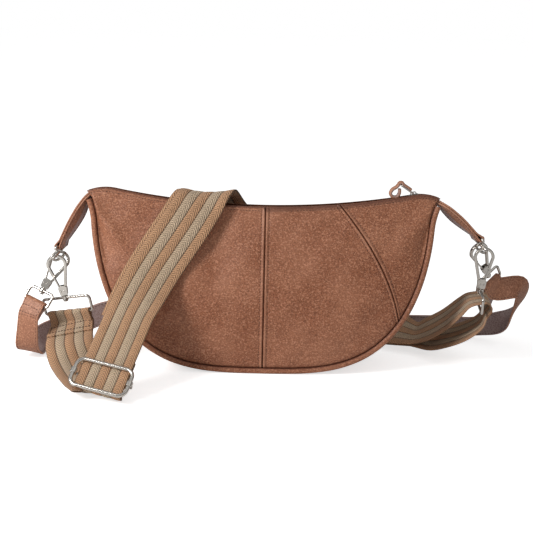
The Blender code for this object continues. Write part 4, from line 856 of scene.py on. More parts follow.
def buildGusset():
    # the strip between the pipings, drawn in a little between its edges where it stands free of the floor
    looks, count = gussetLooks, gussetLooks["rows"]
    kept = slice(looks["trim"], -looks["trim"])
    outer, inner = outlineCurve(0.0, count), outlineCurve(bag["leather"], count)
    reach = bag["piping"] / math.cos(math.pi / 8) + playGap
    half = halfDepth(outlineCurve(2 * bag["piping"], count)[:, 1]) - reach
    share = np.linspace(-1.0, 1.0, looks["columns"])
    free = ease(outer[:, 1] / looks["freeAbove"])[:, None]
    ripple = 1 + 0.5 * np.sin(np.linspace(0, looks["waves"], count))[:, None]
    sag = looks["sag"] * free * (1 - share[None] ** 2) * ripple
    moved = sag[..., None] * unit(inner - outer)[:, None, :]
    sheets = []
    for curve in (outer, inner):
        x, z = (curve[:, None, :] + moved).transpose(2, 0, 1)
        sheets.append(np.stack([x, half[:, None] * share[None], z], axis=-1)[kept])
    edge = (1 - np.abs(share)) * half[kept, None]
    # painted shade along both edges, beside the piping; worn a little lighter just inside them
    masks = {"crease": (looks["dark"] * bell(edge, looks["darkWidth"]), 0.0),
             "wear": (looks["worn"] * bell(edge - looks["wornAt"], looks["wornWidth"]), 0.0)}
    part = shellPart(*sheets, masks=masks)
    addPiece("gusset", part, bagLeather, "bag", ("bottom_gusset",), sharp=75)


liningLooks = {"count": 160, "rows": 24, "trim": 6, "slack": 0.0012, "ease": 0.0009, "ripple": 0.0006,
               "thickness": 0.0006, "belowMouth": 0.0058, "pipingRoom": 0.00325}


def buildLining():
    # thin pouch that follows the leather inside, open at the mouth
    looks = liningLooks
    layers = []
    for extra in (0.0, looks["thickness"]):
        foot = outlineCurve(panelInset + looks["slack"] + extra, looks["count"])
        floor = outlineCurve(bag["leather"] + looks["slack"] + extra, looks["count"])
        half = halfDepth(foot[:, 1]) - looks["pipingRoom"] - looks["slack"] - extra
        headZ = np.maximum(mouthLine(foot[:, 0]) - looks["belowMouth"], foot[:, 1] + looks["thickness"])
        head = np.stack([foot[:, 0], headZ], axis=1)
        rows = []
        for side, folds, phase in (frontSide, backSide):
            part = []
            for share in np.linspace(1.0, 0.0, looks["rows"]):
                x, z = ((1 - share) * foot + share * head).T
                gap = bag["leather"] + looks["slack"] - share * looks["ease"] \
                    + looks["ripple"] * np.sin(9 * share) ** 2
                depth = faceDepth(x, z) - gap - extra + np.minimum(softness(x, z, folds, phase), 0.0)
                part.append(np.stack([x, side * depth, z], axis=1))
            part.append(np.stack([floor[:, 0], side * half, floor[:, 1]], axis=1))
            rows += part if side < 0 else part[::-1]
        layers.append(np.stack(rows)[:, looks["trim"]:-looks["trim"]])
    addPiece("liningPouch", shellPart(*layers), liningCloth, "bag", ("lining",))


buildPanels()
buildPiping()
buildGusset()
buildLining()
print("bag body built")


# straps: the routes' numbers are shares of placeSize (side, back, up), each with its width direction

placeSize = np.array([0.1722, 0.038, 0.174])
webbing = {"width": 0.050, "thickness": 0.0016, "flap": 0.037, "foldShare": 0.4, "freeShare": 0.72,
           "sewn": (0.14, 0.38), "sewnIn": 4, "peek": 0.0036, "peekOver": 0.02, "loopRadius": 0.0072,
           "loopRise": 0.0026, "loopShift": 0.0036, "turnRadius": 0.0036, "below": 0.0115, "above": 0.070,
           "innerStart": 0.0355, "groove": 0.00042, "edgePower": 26, "wideStep": 0.007, "step": 0.004,
           "layerStep": 0.0035}
buckle = {"place": (-0.868, -3.13, 0.114), "run": (0.29, 0.665, 0.685), "across": (0.95, -0.29, -0.11),
          "wire": 0.0020, "barWire": 0.0015, "height": 0.0280, "corner": 0.0075, "tail": 0.024,
          "eyeWall": 0.0011, "eyeHalf": 0.0025, "eyeEdge": 0.0003, "eyeRoom": 0.0002, "armWidth": 0.0013,
          "armHeight": 0.0014}
ringWire = 0.0015
leftDrop = (((-1.135, -0.95, 0.150), (0.95, -0.10, 0.10)), ((-1.068, -1.50, 0.050), (0.92, 0.28, 0.02)),
            ((-0.972, -2.35, 0.026), (0.97, 0.06, -0.02)))
frontRoute = (((-0.640, -1.00, 0.580), (0.90, -0.14, -0.42)), ((-0.445, -0.62, 0.875), (0.93, -0.10, -0.35)),
              ((-0.370, -0.36, 0.990), (0.95, -0.06, -0.22)), ((-0.340, -0.12, 1.020), (0.97, -0.16, -0.06)))
backRoute = (((-0.315, 0.12, 1.020), (0.98, -0.10, 0.06)), ((-0.295, 0.36, 0.985), (0.97, -0.03, 0.22)),
             ((-0.225, 0.72, 0.860), (0.94, 0.0, 0.34)), ((-0.020, 1.28, 0.600), (0.85, 0.05, 0.52)),
             ((0.210, 1.58, 0.330), (0.64, 0.30, 0.70)), ((0.480, 1.66, 0.185), (0.30, 0.55, 0.78)),
             ((0.750, 1.64, 0.140), (0.12, 0.66, 0.70)), ((0.980, 1.42, 0.085), (0.06, 0.94, 0.26)))
loopEntry = (((1.060, 1.10, 0.078), (0.06, 0.97, 0.20)), ((1.155, 0.80, 0.115), (0.05, 0.98, 0.16)),
             ((1.265, 0.42, 0.185), (0.07, 0.99, 0.10)), ((1.340, 0.05, 0.275), (0.08, 0.99, 0.02)))
loopExit = (((1.255, -0.14, 0.420), (0.08, 0.99, 0.02)), ((1.215, 0.16, 0.355), (0.07, 0.99, 0.10)),
            ((1.140, 0.66, 0.235), (0.05, 0.98, 0.16)), ((1.050, 1.04, 0.145), (0.06, 0.97, 0.20)))
leatherStrap = {"width": 0.025, "thickness": 0.0026, "flap": 0.018, "ringHeight": 0.0145, "columns": 41,
                "sewn": (0.12, 0.26, 0.66), "sewnIn": 3, "step": 0.004, "suede": 0.99}
leatherLeft = (((-1.400, -0.60, 0.200), (0.90, -0.34, -0.16)), ((-1.408, -0.52, 0.090), (0.93, -0.12, 0.0)),
               ((-1.400, -0.05, 0.036), (0.90, 0.10, -0.28)), ((-1.370, 0.55, 0.075), (0.60, 0.40, -0.70)),
               ((-1.300, 1.05, 0.092), (0.20, 0.20, -0.95)), ((-1.160, 1.42, 0.110), (0.03, 0.0, -1.0)),
               ((-0.980, 1.66, 0.170), (0.0, -0.08, -1.0)))
leatherMiddle = (((-0.650, 1.95, 0.130), (0.0, -0.06, -1.0)), ((-0.200, 2.15, 0.080), (0.0, 0.0, -1.0)),
                 ((0.300, 2.25, 0.077), (0.0, 0.0, -1.0)), ((0.900, 2.30, 0.077), (0.0, 0.0, -1.0)),
                 ((1.180, 2.35, 0.077), (0.0, 0.0, -1.0)))
leatherRight = (((1.420, 2.30, 0.085), (0.0, 0.25, -0.97)), ((1.580, 2.00, 0.150), (-0.35, -0.30, -0.88)),
                ((1.645, 1.60, 0.290), (-0.62, -0.60, -0.50)), ((1.630, 1.20, 0.420), (-0.72, -0.60, -0.35)))
leatherReturn = (((1.458, 1.42, 0.325), (-0.45, -0.66, -0.60)), ((1.460, 1.75, 0.235), (-0.38, -0.68, -0.62)),
                 ((1.445, 2.05, 0.155), (-0.37, -0.68, -0.63)))
flapStitch = {"pitch": 0.0033, "length": 0.0024, "width": 0.0009, "height": 0.0005, "lift": 0.0002,
              "ends": 0.0}
strapStitch = dict(seamStitch, pitch=0.0036, length=0.0023, height=0.0003, inset=0.0022)
crossStitch = dict(strapStitch, width=0.0007, height=0.00028, ends=0.0)
tabStitch = dict(strapStitch, pitch=0.0034)


def routeRows(table):
    # points from shares of the place sizes, each with its width direction
    return np.array([np.concatenate([np.multiply(spot, placeSize), unit(wide)]) for spot, wide in table])


def dRingFrame(side):
    # a D-ring's frame: X along its bar from the joint, Z square to it and level in Y
    swing = joints["d_ring_" + side + "_swing"]
    x = unit(swing["axis"])
    up = unit([-x[2], 0.0, x[0]])
    return frameOf(swing["pos_m"], x, up * np.sign(up[2]))


def ringFrame(name):
    # a ring's frame: its lower bar's point and direction from its joint, up from the swivel's axis
    swing = joints["ring_" + name + "_swing"]
    return frameOf(swing["pos_m"], swing["axis"], joints["hook_" + name + "_swivel"]["axis"])


def hookFrame(name):
    # foot point and swivel axis from the hook's joint, depth from its gate's pivot
    swivel, gate = joints["hook_" + name + "_swivel"], joints["gate_" + name + "_spring"]
    up, depth = unit(swivel["axis"]), unit(gate["axis"])
    return frameOf(swivel["pos_m"], np.cross(depth, up), up)


def foldRows(matrix, thickness, faceSign, free):
    # flap beside the strap, round the ring's lower bar, and the first rows of the strap below it
    wide, face, up, bar = matrix[:, 0], matrix[:, 1] * faceSign, matrix[:, 2], matrix[:, 3]
    near = face * (thickness + playGap) / 2
    flap = legRows(bar + near, -up * free, (1.0, 0.85, 0.7, 0.55, 0.4), wide)
    turn = arcRows(bar, face, up, ringWire + playGap + thickness / 2, wide, 0, 180, 13)
    return np.concatenate([flap, turn]), legRows(bar - near, -up * free, (0.4, 0.7), wide)


def ribbonPart(rows, profile, half, thickness, masks=None):
    # flat strap: width shares across, thickness along the face direction; U runs across and V along
    share = np.linspace(-1.0, 1.0, len(profile))[None, :]
    half = np.broadcast_to(half, (len(rows),))[:, None]
    lift = rows[:, None, 6:9] * (thickness / 2 * profile)[None, :, None]
    middle = rows[:, None, :3] + rows[:, None, 3:6] * (share * half)[..., None]
    size = (len(rows), len(profile))
    uv = [np.broadcast_to(share / 2 + 0.5, size), np.broadcast_to(runLength(rows)[:, None], size)]
    return shellPart(middle + lift, middle - lift, np.stack(uv, axis=-1), masks), middle + lift, middle - lift


def webbingProfile(count=61):
    # five cords: full thickness less a narrow groove between stripes, rounded off at both edges
    share = np.linspace(0.0, 1.0, count)
    off = np.abs((share * 5 + 0.5) % 1.0 - 0.5)
    cords = 1.0 - 2 * webbing["groove"] / webbing["thickness"] * (1 - 2 * off) ** 2
    return cords * np.sqrt(np.clip(1.0 - np.abs(2 * share - 1) ** webbing["edgePower"], 0.05, 1.0))


def buildWebbing():
    # one strap: flap, left ring, floor, up over the bag, round the right ring and back beneath itself
    looks = webbing
    layer = (looks["thickness"] + playGap) / 2
    marks = np.array([-looks["below"], 0.0] + [looks["above"] * share for share in (1 / 3, 2 / 3, 0.9, 1.0)])
    run = unit(buckle["run"])
    straight = legRows(np.multiply(buckle["place"], placeSize), run, marks, unit(buckle["across"]))
    whole = faced(smoothRows(np.concatenate([straight, routeRows(frontRoute + backRoute)]), looks["wideStep"]))
    head, below = foldRows(ringFrame("webbing_left"), looks["thickness"], -1,
                           looks["foldShare"] * looks["flap"])
    normal, turnRadius = whole[0, 6:9], looks["turnRadius"]
    turn = arcRows(whole[0, :3] + normal * (layer - turnRadius), normal, -run, turnRadius, whole[0, 3:6],
                   137, 0, 9)
    drop = faced(smoothRows(np.concatenate([below, routeRows(leftDrop), turn[:1]]), looks["step"]))
    flap = drop[runLength(drop) < looks["freeShare"] * looks["flap"]][::-1]
    side = np.sign(np.dot(head[0, :3] - below[0, :3], flap[-1, 6:9]))
    flap = shifted(flap, side * 2 * layer)
    outer, inner = shifted(whole, layer), shifted(whole, -layer)
    inFront = (whole[:, 1:2] < 0) * ease(-whole[:, 1:2] / looks["peekOver"])
    inner[:, :3] -= whole[:, 3:6] * (looks["peek"] * inFront)
    wide, back, up, bar = ringFrame("webbing_right").T
    loop = arcRows(bar + up * looks["loopRise"] - back * looks["loopShift"], -back, up, looks["loopRadius"],
                   wide, -60, 105, 7)
    around = smoothRows(np.concatenate([outer[-2:], routeRows(loopEntry), loop, routeRows(loopExit),
                                        inner[:-3:-1]]), looks["step"])
    first, last = [np.argmin(np.linalg.norm(around[:, :3] - layerEnd[-1, :3], axis=1))
                   for layerEnd in (outer, inner)]
    fromBuckle = np.linalg.norm(whole[:, :3] - whole[0, :3], axis=1)
    innerEnd = int(np.argmax(fromBuckle > looks["below"] + buckle["tail"] + looks["innerStart"]))
    outer, inner = [smoothRows(rows, looks["layerStep"]) for rows in (outer, inner[innerEnd:])]
    path = [flap, head[2:], drop[:-1, :6], turn, outer[1:], around[first + 1:last], inner[::-1]]
    rows = faced(np.concatenate(path), square=False)
    part, high = ribbonPart(rows, webbingProfile(), looks["width"] / 2, looks["thickness"])[:2]
    addPiece("stripedStrap", part, striped, "bag",
             ("webbing_left_end", "webbing_outer_front", "webbing_inner_front", "webbing_outer_back",
              "webbing_inner_back", "webbing_right_loop"))
    print("webbing length %.2f m" % runLength(rows)[-1])
    flapStitches(high, rows)


def flapStitches(high, rows):
    # a sewn box on the flap: two rows across and one down each side
    near, far = webbing["sewnIn"], high.shape[1] - webbing["sewnIn"] - 1
    columns = np.linspace(near, far, 40).astype(int)
    ends = [webbing["flap"] * share for share in webbing["sewn"]]
    marks = np.linspace(*ends, 12)
    out = np.array([unit(readAt(rows, rows[:, 6:9], mark)) for mark in marks])
    threads = []
    for end, face in zip(ends, (out[0], out[-1])):
        threads += stitchRow(readAt(rows, high[:, columns], end), face, flapStitch)
    for column in (near, far):
        line = np.array([readAt(rows, high[:, column], mark) for mark in marks])
        threads += stitchRow(line, out, flapStitch)
    addPiece("strapStitches", joined(threads), strapThread, "bag", sharp=40)


def leatherSection(count, width, thickness):
    # a strap's profile: full thickness, a shallow stitch channel, rounded cut edges; and its worn strips
    off = (1 - np.abs(np.linspace(-1.0, 1.0, count))) * width / 2
    turned = np.sqrt(np.clip(1.0 - (1 - off / (thickness * 0.5)).clip(0.0) ** 2, 0.04, 1.0))
    worn = np.clip(bell(off, 0.0012) + 0.35 * bell(off - 0.0030, 0.0005), 0, 1)[None, :]
    return turned * (1 - 0.16 * bell(off - strapStitch["inset"], 0.0006)), worn


def edgeStitches(grid, out, looks, width):
    # a row of stitches beside each edge of a strap
    threads, half = [], (grid.shape[1] - 1) / 2
    place = (1 - 2 * looks["inset"] / width) * half
    for k in (half - place, half + place):
        low, share = int(k), k - int(k)
        threads += stitchRow(grid[:, low] * (1 - share) + grid[:, low + 1] * share, out, looks)
    return threads


def buildLeatherStrap():
    # one strap: flap, left ring, behind the bag, forward through the right ring and back behind it
    looks = leatherStrap
    wide, thick, count = looks["width"], looks["thickness"], looks["columns"]
    head, below = foldRows(ringFrame("leather_left"), thick, 1, looks["flap"])
    across, back, up, bar = ringFrame("leather_right").T
    radius = ringWire + playGap + thick / 2
    turn = arcRows(bar, -back, up, radius, -across, 0, 180, 13)
    drop = np.concatenate([up * looks["ringHeight"] / 2, np.zeros(3)])
    route = smoothRows(np.concatenate([below, routeRows(leatherLeft + leatherMiddle + leatherRight),
                                       turn[:1] - drop, turn[:1]]), looks["step"])
    fall = smoothRows(np.concatenate([turn[-1:], turn[-1:] - drop, routeRows(leatherReturn)]), looks["step"])
    rows = faced(np.concatenate([head, route, turn[1:-1], fall]))
    for k in range(3):  # even out the directions where the free runs meet the arcs
        rows[1:-1, 3:9] = (rows[:-2, 3:9] + 2 * rows[1:-1, 3:9] + rows[2:, 3:9]) / 4
    rows[:, 6:9], rows[:, 3:6] = unit(rows[:, 6:9]), unit(rows[:, 3:6])
    profile, worn = leatherSection(count, wide, thick)
    suede = np.abs(np.linspace(-1.0, 1.0, count)) < looks["suede"]
    masks = {"wear": (worn, worn), "inside": (suede, 0.0)}
    part, high, low = ribbonPart(rows, profile, wide / 2, thick, masks)
    addPiece("leatherStrapWhole", part, strapLeather, "bag",
             ("leather_strap_left", "leather_strap_middle", "leather_strap_right"))
    print("leather strap length %.2f m" % runLength(rows)[-1])
    threads = edgeStitches(high, rows[:, 6:9], strapStitch, wide)
    threads += edgeStitches(low, -rows[:, 6:9], strapStitch, wide)
    for share in looks["sewn"]:
        at = looks["flap"] * (2 - share) + math.pi * radius
        line = readAt(rows, low[:, looks["sewnIn"]:-looks["sewnIn"]], at)
        threads += stitchRow(line, -unit(readAt(rows, rows[:, 6:9], at)), crossStitch)
    addPiece("leatherStrapStitches", joined(threads), bagThread, "bag", sharp=40)


tab = {"rootPlace": 0.168, "rootDrop": 0.0045, "crestPlace": 0.1762, "crestDrop": 0.0048, "width": 0.022,
       "rootWidth": 0.0092, "spread": 0.014, "leather": 0.0018, "leans": (0.0, 10.0, 26.0), "columns": 33,
       "step": 0.0015}


def buildTabs():
    # each tab leaves its corner, widens, turns round the D-ring's bar and comes back beneath
    looks, count = tab, tab["columns"]
    turnAbout = ringWire + playGap + looks["leather"] / 2
    flat = (looks["leather"] + playGap) / 2
    profile, worn = leatherSection(count, looks["width"], looks["leather"])
    for side, sign in (("left", -1), ("right", 1)):
        matrix = dRingFrame(side)
        wide, bar = matrix[:, 0], matrix[:, 3]
        root, crest = [np.array([sign * looks[end + "Place"], 0.0, mouthLine(looks[end + "Place"])
                                 - looks[end + "Drop"]]) for end in ("root", "crest")]
        ahead = bar - crest
        ahead = unit(ahead - np.dot(ahead, wide) * wide)
        near = bar - ahead * 2 * turnAbout
        over = -sign * np.array([ahead[2], 0.0, -ahead[0]])  # outward and up: the front edge leans that way
        leans = [np.array([0.0, 1.0, 0.0]) - over * math.tan(math.radians(lean)) for lean in looks["leans"]]
        rows = np.concatenate([[root, crest, (crest + near) / 2, near], [*leans, wide]], axis=1)
        rows = faced(smoothRows(rows, looks["step"]))
        spread = ease((np.abs(rows[:, 0]) - looks["crestPlace"] + 0.002) / looks["spread"])
        width = looks["rootWidth"] + (looks["width"] - looks["rootWidth"]) * spread
        arc = arcRows(bar, rows[-1, 6:9], ahead, turnAbout, wide, 0, 180, 13)[1:-1]
        path = faced(np.concatenate([shifted(rows, flat), arc, shifted(rows, -flat)[::-1]]))
        width = np.concatenate([width, np.full(len(arc), looks["width"]), width[::-1]])
        under = ease((np.arange(len(path)) - len(rows) - 4) / 6.0)[::-sign, None]
        under = under * (np.abs(np.linspace(-1, 1, count) - 0.55) < 0.42)
        masks = {"wear": (worn, worn), "inside": (under, 0.0)}
        part, high = ribbonPart(path, profile, width / 2, looks["leather"], masks)[:2]
        addPiece(side + "Tab", part, strapLeather, "bag", ("tab_" + side,))
        start = len(rows) // 3
        threads = edgeStitches(high[start:], path[start:, 6:9], tabStitch, looks["width"])
        addPiece(side + "TabStitches", joined(threads), bagThread, "bag", sharp=40)


buildWebbing()
buildLeatherStrap()
buildTabs()
print("straps and tabs built")


# rings, hooks and buckle

strapEnds = ("webbing_left", "leather_left", "webbing_right", "leather_right")
ringLooks = {"dInner": 0.0245, "dDrop": 0.0165, "dBow": 0.0048, "webbingHeight": 0.0165,
             "leatherHeight": 0.0145, "topRadius": 0.0038, "footRadius": 0.00225, "bossRadius": 0.0032,
             "bossHeight": 0.0050, "bossEdge": 0.0006}
hookLooks = {"length": 0.0438, "halfWidth": 0.0106, "barWidth": 0.0030, "barDepth": 0.0032, "barEdge": 0.0006,
             "footHalf": 0.0036, "footHeight": 0.0105, "cheek": 0.0011, "pin": 0.0008, "pinHeight": 0.0050,
             "knuckle": 0.0021, "post": 0.0015, "rivetHeight": 0.0012, "rivetRadius": 0.0026,
             "gateShare": 0.60, "gate": 0.0017, "gateEdge": 0.0005, "sunk": 0.0002, "bevel": 0.00018,
             "gateBevel": 0.00015}


def buildRings():
    # two D-rings and four strap rings, each boss turned round the hook's post
    looks, section = ringLooks, circle(ringWire, 16)
    half = looks["dInner"] / 2 + ringWire
    angle = np.linspace(0.0, math.pi, 33)
    bow = np.stack([half * np.cos(angle), looks["dBow"] * (1 - np.sin(angle)) - looks["dDrop"]], axis=1)
    foot = -0.4 * looks["dDrop"]
    top = roundedLoop([(half, foot), (half, 0), (-half, 0), (-half, foot)],
                      [noRound, 1.5 * ringWire, 1.5 * ringWire, noRound])[8:24]
    dRing = wirePart(flatPath(np.concatenate([bow, top])), (0, 1, 0), section)
    for side in ("left", "right"):
        addMetal(side + "DRing", placed(dRing, dRingFrame(side)), "d_ring_" + side, "d_ring_" + side)
    for name in strapEnds:
        wide = name.startswith("webbing")
        inner = webbing["width"] + 2 * ringWire if wide else leatherStrap["width"] + ringWire
        high = looks["webbingHeight"] if wide else looks["leatherHeight"]
        loop = boxLoop(inner / 2 + ringWire, 0, high, [looks["footRadius"]] * 2 + [looks["topRadius"]] * 2)
        r, edge, reach = looks["bossRadius"], looks["bossEdge"], looks["bossHeight"] / 2
        boss = lathePart([(r - edge, high - reach), (r, high - reach + edge), (r * 0.9, high),
                          (r, high + reach - edge), (r - edge, high + reach)])
        ring = placed(joined([wirePart(flatPath(loop), (0, 1, 0), section), boss]), ringFrame(name))
        addMetal(pieceName(name) + "Ring", ring, "ring_" + name, "ring_" + name, sharp=50)


def hookSpots():
    # middle line of the hook's bar: up the long side, over the round top, down to the nose
    looks = hookLooks
    radius = looks["halfWidth"] - looks["barWidth"] / 2
    centre = looks["length"] - looks["barWidth"] / 2 - radius
    start = np.array([looks["footHalf"] - looks["barWidth"] / 2, looks["pinHeight"]])
    end = np.array([radius, centre])
    angle = np.linspace(0.0, math.pi, 33)[1:-1]
    top = np.stack([radius * np.cos(angle), centre + radius * np.sin(angle)], axis=1)
    nose = (start + (end - start) * looks["gateShare"]) * (-1, 1)
    end2 = end * (-1, 1)
    side = start + (end - start) * np.linspace(0.0, 1.0, 12)[:, None]
    return np.concatenate([side, top, end2 + (nose - end2) * np.linspace(0.0, 1.0, 6)[:, None]]), nose


def buildHooks():
    # teardrop bar, forked foot with its rivets, post under the ring's boss, and a sprung gate
    looks = hookLooks
    depth, tall = looks["barDepth"], looks["footHeight"]
    pinHeight, knuckle = looks["pinHeight"], looks["knuckle"]
    spots, nose = hookSpots()
    bar = wirePart(flatPath(spots), (0, 1, 0), roundRect(looks["barWidth"], depth, looks["barEdge"]), False)
    low, high = looks["footHalf"], looks["footHalf"] + looks["barWidth"] / 3
    cheekLine = roundedLoop([(-low, 0.0), (low, 0.0), (high, tall * 0.8), (high * 0.55, tall),
                             (-high * 0.55, tall), (-high, tall * 0.8)],
                            [0.0012, 0.0012, 0.0016, 0.0010, 0.0010, 0.0016], 5)
    inside = depth / 2 + playGap
    outside = inside + looks["cheek"]
    cheeks = [plate(cheekLine, -outside, -inside), plate(cheekLine, inside, outside)]
    filled = inside + looks["sunk"]
    pinX = looks["barWidth"] / 2 - looks["footHalf"]
    left, right, floorTop = pinX + knuckle + playGap, low * 0.97, pinHeight - knuckle - playGap
    core = plate(roundedLoop([(left, 0.0004), (right, 0.0004), (right, tall * 0.85), (left, tall * 0.85)],
                             [0.0004] * 4, 4), -filled, filled)
    floor = plate([(-low * 0.96, 0.0002), (low * 0.94, 0.0002), (low * 0.94, floorTop),
                   (-low * 0.96, floorTop)], -filled, filled)
    proud = outside + 0.00025
    rivets = [rod((x, -proud, pinHeight), (x, proud, pinHeight), looks["pin"] * 1.25)
              for x in (pinX, low * 0.42)]
    reach, rivet = ringLooks["bossHeight"] + 2 * playGap, looks["rivetRadius"]
    tip = -reach - looks["rivetHeight"]
    post = lathePart([(looks["post"], pinHeight / 4), (looks["post"], -reach), (rivet, -reach),
                      (rivet, tip + 0.0005), (rivet - 0.0008, tip)])
    hook = joined([bar, core, floor, post] + cheeks + rivets)
    away = nose - (pinX, pinHeight)
    length = np.linalg.norm(away)
    reach = np.linspace(knuckle / 2, length - looks["barWidth"] / 2 - playGap, 14)
    tongue = flatPath(reach[:, None] * away / length)
    size = 0.86 + 0.14 * ease(np.linspace(0, 1, 14) * 3)
    section = roundRect(looks["gate"], depth, looks["gateEdge"])
    gate = joined([wirePart(tongue, (0, 1, 0), section, False, size),
                   rod((0, -depth / 2, 0), (0, depth / 2, 0), knuckle)])
    for name in strapEnds:
        matrix = hookFrame(name)
        pivot = matrix.copy()
        pivot[:, 3] = matrix @ (pinX, 0.0, pinHeight, 1.0)
        addMetal(pieceName(name) + "Hook", placed(hook, matrix), "hook_" + name, "hook_" + name, 40,
                 looks["bevel"])
        addMetal(pieceName(name) + "Gate", placed(gate, pivot), "gate_" + name, "gate_" + name, 40,
                 looks["gateBevel"])


def buildBuckle():
    # wire frame over the strap, a bar under it held by two eyes, and the strap's sewn tail
    looks, thick = buckle, webbing["thickness"]
    across, run = unit(looks["across"]), unit(looks["run"])
    matrix = frameOf(np.multiply(looks["place"], placeSize), across, run)
    sign = 1.0 if np.dot(matrix[:, 1], np.cross(across, run)) > 0 else -1.0
    wire, barWire, layers = looks["wire"], looks["barWire"], thick + playGap
    lift = (layers / 2 + thick / 2 + playGap + wire) * sign
    low = -(layers + playGap + barWire) * sign
    half, tall = webbing["width"] / 2 + 2 * wire, looks["height"] / 2
    loop = boxLoop(half, -tall, tall, [looks["corner"]] * 4, 14)
    loop = np.concatenate([loop, loop[:1]])
    loop = evenly(loop, np.linspace(0, 1, 141)[:-1] * runLength(loop)[-1])
    frameWire = wirePart(flatPath(loop, lift), (0, 1, 0), circle(wire, 20))
    addMetal("buckleFrame", placed(frameWire, matrix), "buckle", "slide_buckle_frame")
    parts = [rod((-half, low, 0), (half, low, 0), barWire)]
    bore, eye = wire + looks["eyeRoom"], wire + playGap + looks["eyeWall"]
    end, edge, arm, tall = looks["eyeHalf"], looks["eyeEdge"], looks["armWidth"], looks["armHeight"]
    for x in (-half, half):
        turned = lathePart([(bore, -end), (eye - edge, -end), (eye, edge - end), (eye, end - edge),
                            (eye - edge, end), (bore, end)])
        parts.append(placed(turned, np.array([[1, 0, 0, x], [0, 1, 0, lift], [0, 0, 1, 0.0]])))
        parts.append(plate([(x - arm, -tall), (x + arm, -tall), (x + arm, tall), (x - arm, tall)],
                           min(low, lift), max(low, lift)))
    addMetal("buckleBar", placed(joined(parts), matrix), "buckle", "slide_buckle_bar", sharp=40)
    radius = barWire + playGap + thick / 2
    wide, out, up = np.array([1.0, 0, 0]), np.array([0.0, sign, 0]), np.array([0, 0, 1.0])
    middle = np.array([0.0, low, 0])
    upper, tail = middle + out * radius, up * looks["tail"]
    rows = faced(np.concatenate([legRows(upper, tail, (1.0, 0.8, 0.6, 0.4, 0.2), wide),
                                 arcRows(middle, out, -up, radius, wide, 0, 180, 11),
                                 legRows(upper - out * layers, tail, (0.5, 0.75, 1.0), wide)]))
    part = ribbonPart(rows, webbingProfile(), webbing["width"] / 2 - playGap, thick)[0]
    addPiece("strapTail", placed(part, matrix), striped, "buckle", ("webbing_tail",))


# the zip

zipLooks = {"sink": 0.0028, "halfLength": 0.159, "pitch": 0.0021, "tape": 0.0008, "tapeBow": 0.0002,
            "spine": 0.0006, "spineShare": 0.7, "toothPlace": 0.56, "toothReach": 0.0019,
            "toothHeight": 0.0024, "toothShare": 0.44, "stop": 0.003, "slider": 0.1530, "sliderLength": 0.010,
            "sliderHalf": 0.0046, "sliderWall": 0.0009, "lip": 0.0008, "bridge": 0.0032, "bridgeHalf": 0.0028,
            "wire": 0.0007, "link": 0.0155, "linkWidth": 0.0075, "lean": 45.0, "thong": 0.0066,
            "thongThick": 0.0032, "step": 0.0008}
thongLegs = ((0.26, 0.115), (0.55, 0.115), (0.85, 0.115))
thongLoop = ((1.173, -0.283), (1.287, -0.579), (1.228, -0.867), (0.973, -0.940), (0.763, -0.785),
             (0.772, -0.502), (0.925, -0.265))


def zipArc(x):
    # the chain keeps a plain circle arc
    radius = bag["mouthRadius"]
    return bag["mouthHeight"] - zipLooks["sink"] + radius - np.sqrt(radius ** 2 - x ** 2)


def zipFrame(x):
    # origin on the chain, X along it and Z square to it, upwards
    tilt = math.asin(x / bag["mouthRadius"])
    rise, run = math.sin(tilt), math.cos(tilt)
    return frameOf((x, 0, zipArc(x)), (run, 0, rise), (-rise, 0, run))


def toothShape():
    # an eight-sided tooth, shorter along the chain than its pitch
    looks = zipLooks
    reach, high = looks["toothReach"] * 0.40, looks["toothHeight"] / 2
    ring = np.array([(-1.0, -0.6), (-0.7, -1.0), (0.7, -1.0), (1.0, -0.6)])
    ring = np.concatenate([ring, -ring]) * (reach, high)
    ends = [np.full((8, 1), side * looks["pitch"] * looks["toothShare"] / 2) for side in (-1, 1)]
    caps = np.array([[7, 0, 1, 2], [7, 2, 3, 6], [6, 3, 4, 5],
                     [10, 9, 8, 15], [14, 11, 10, 15], [13, 12, 11, 14]])
    points = np.concatenate([np.concatenate([end, ring], axis=1) for end in ends])
    return points, np.concatenate([ringFaces(2, 8), caps])


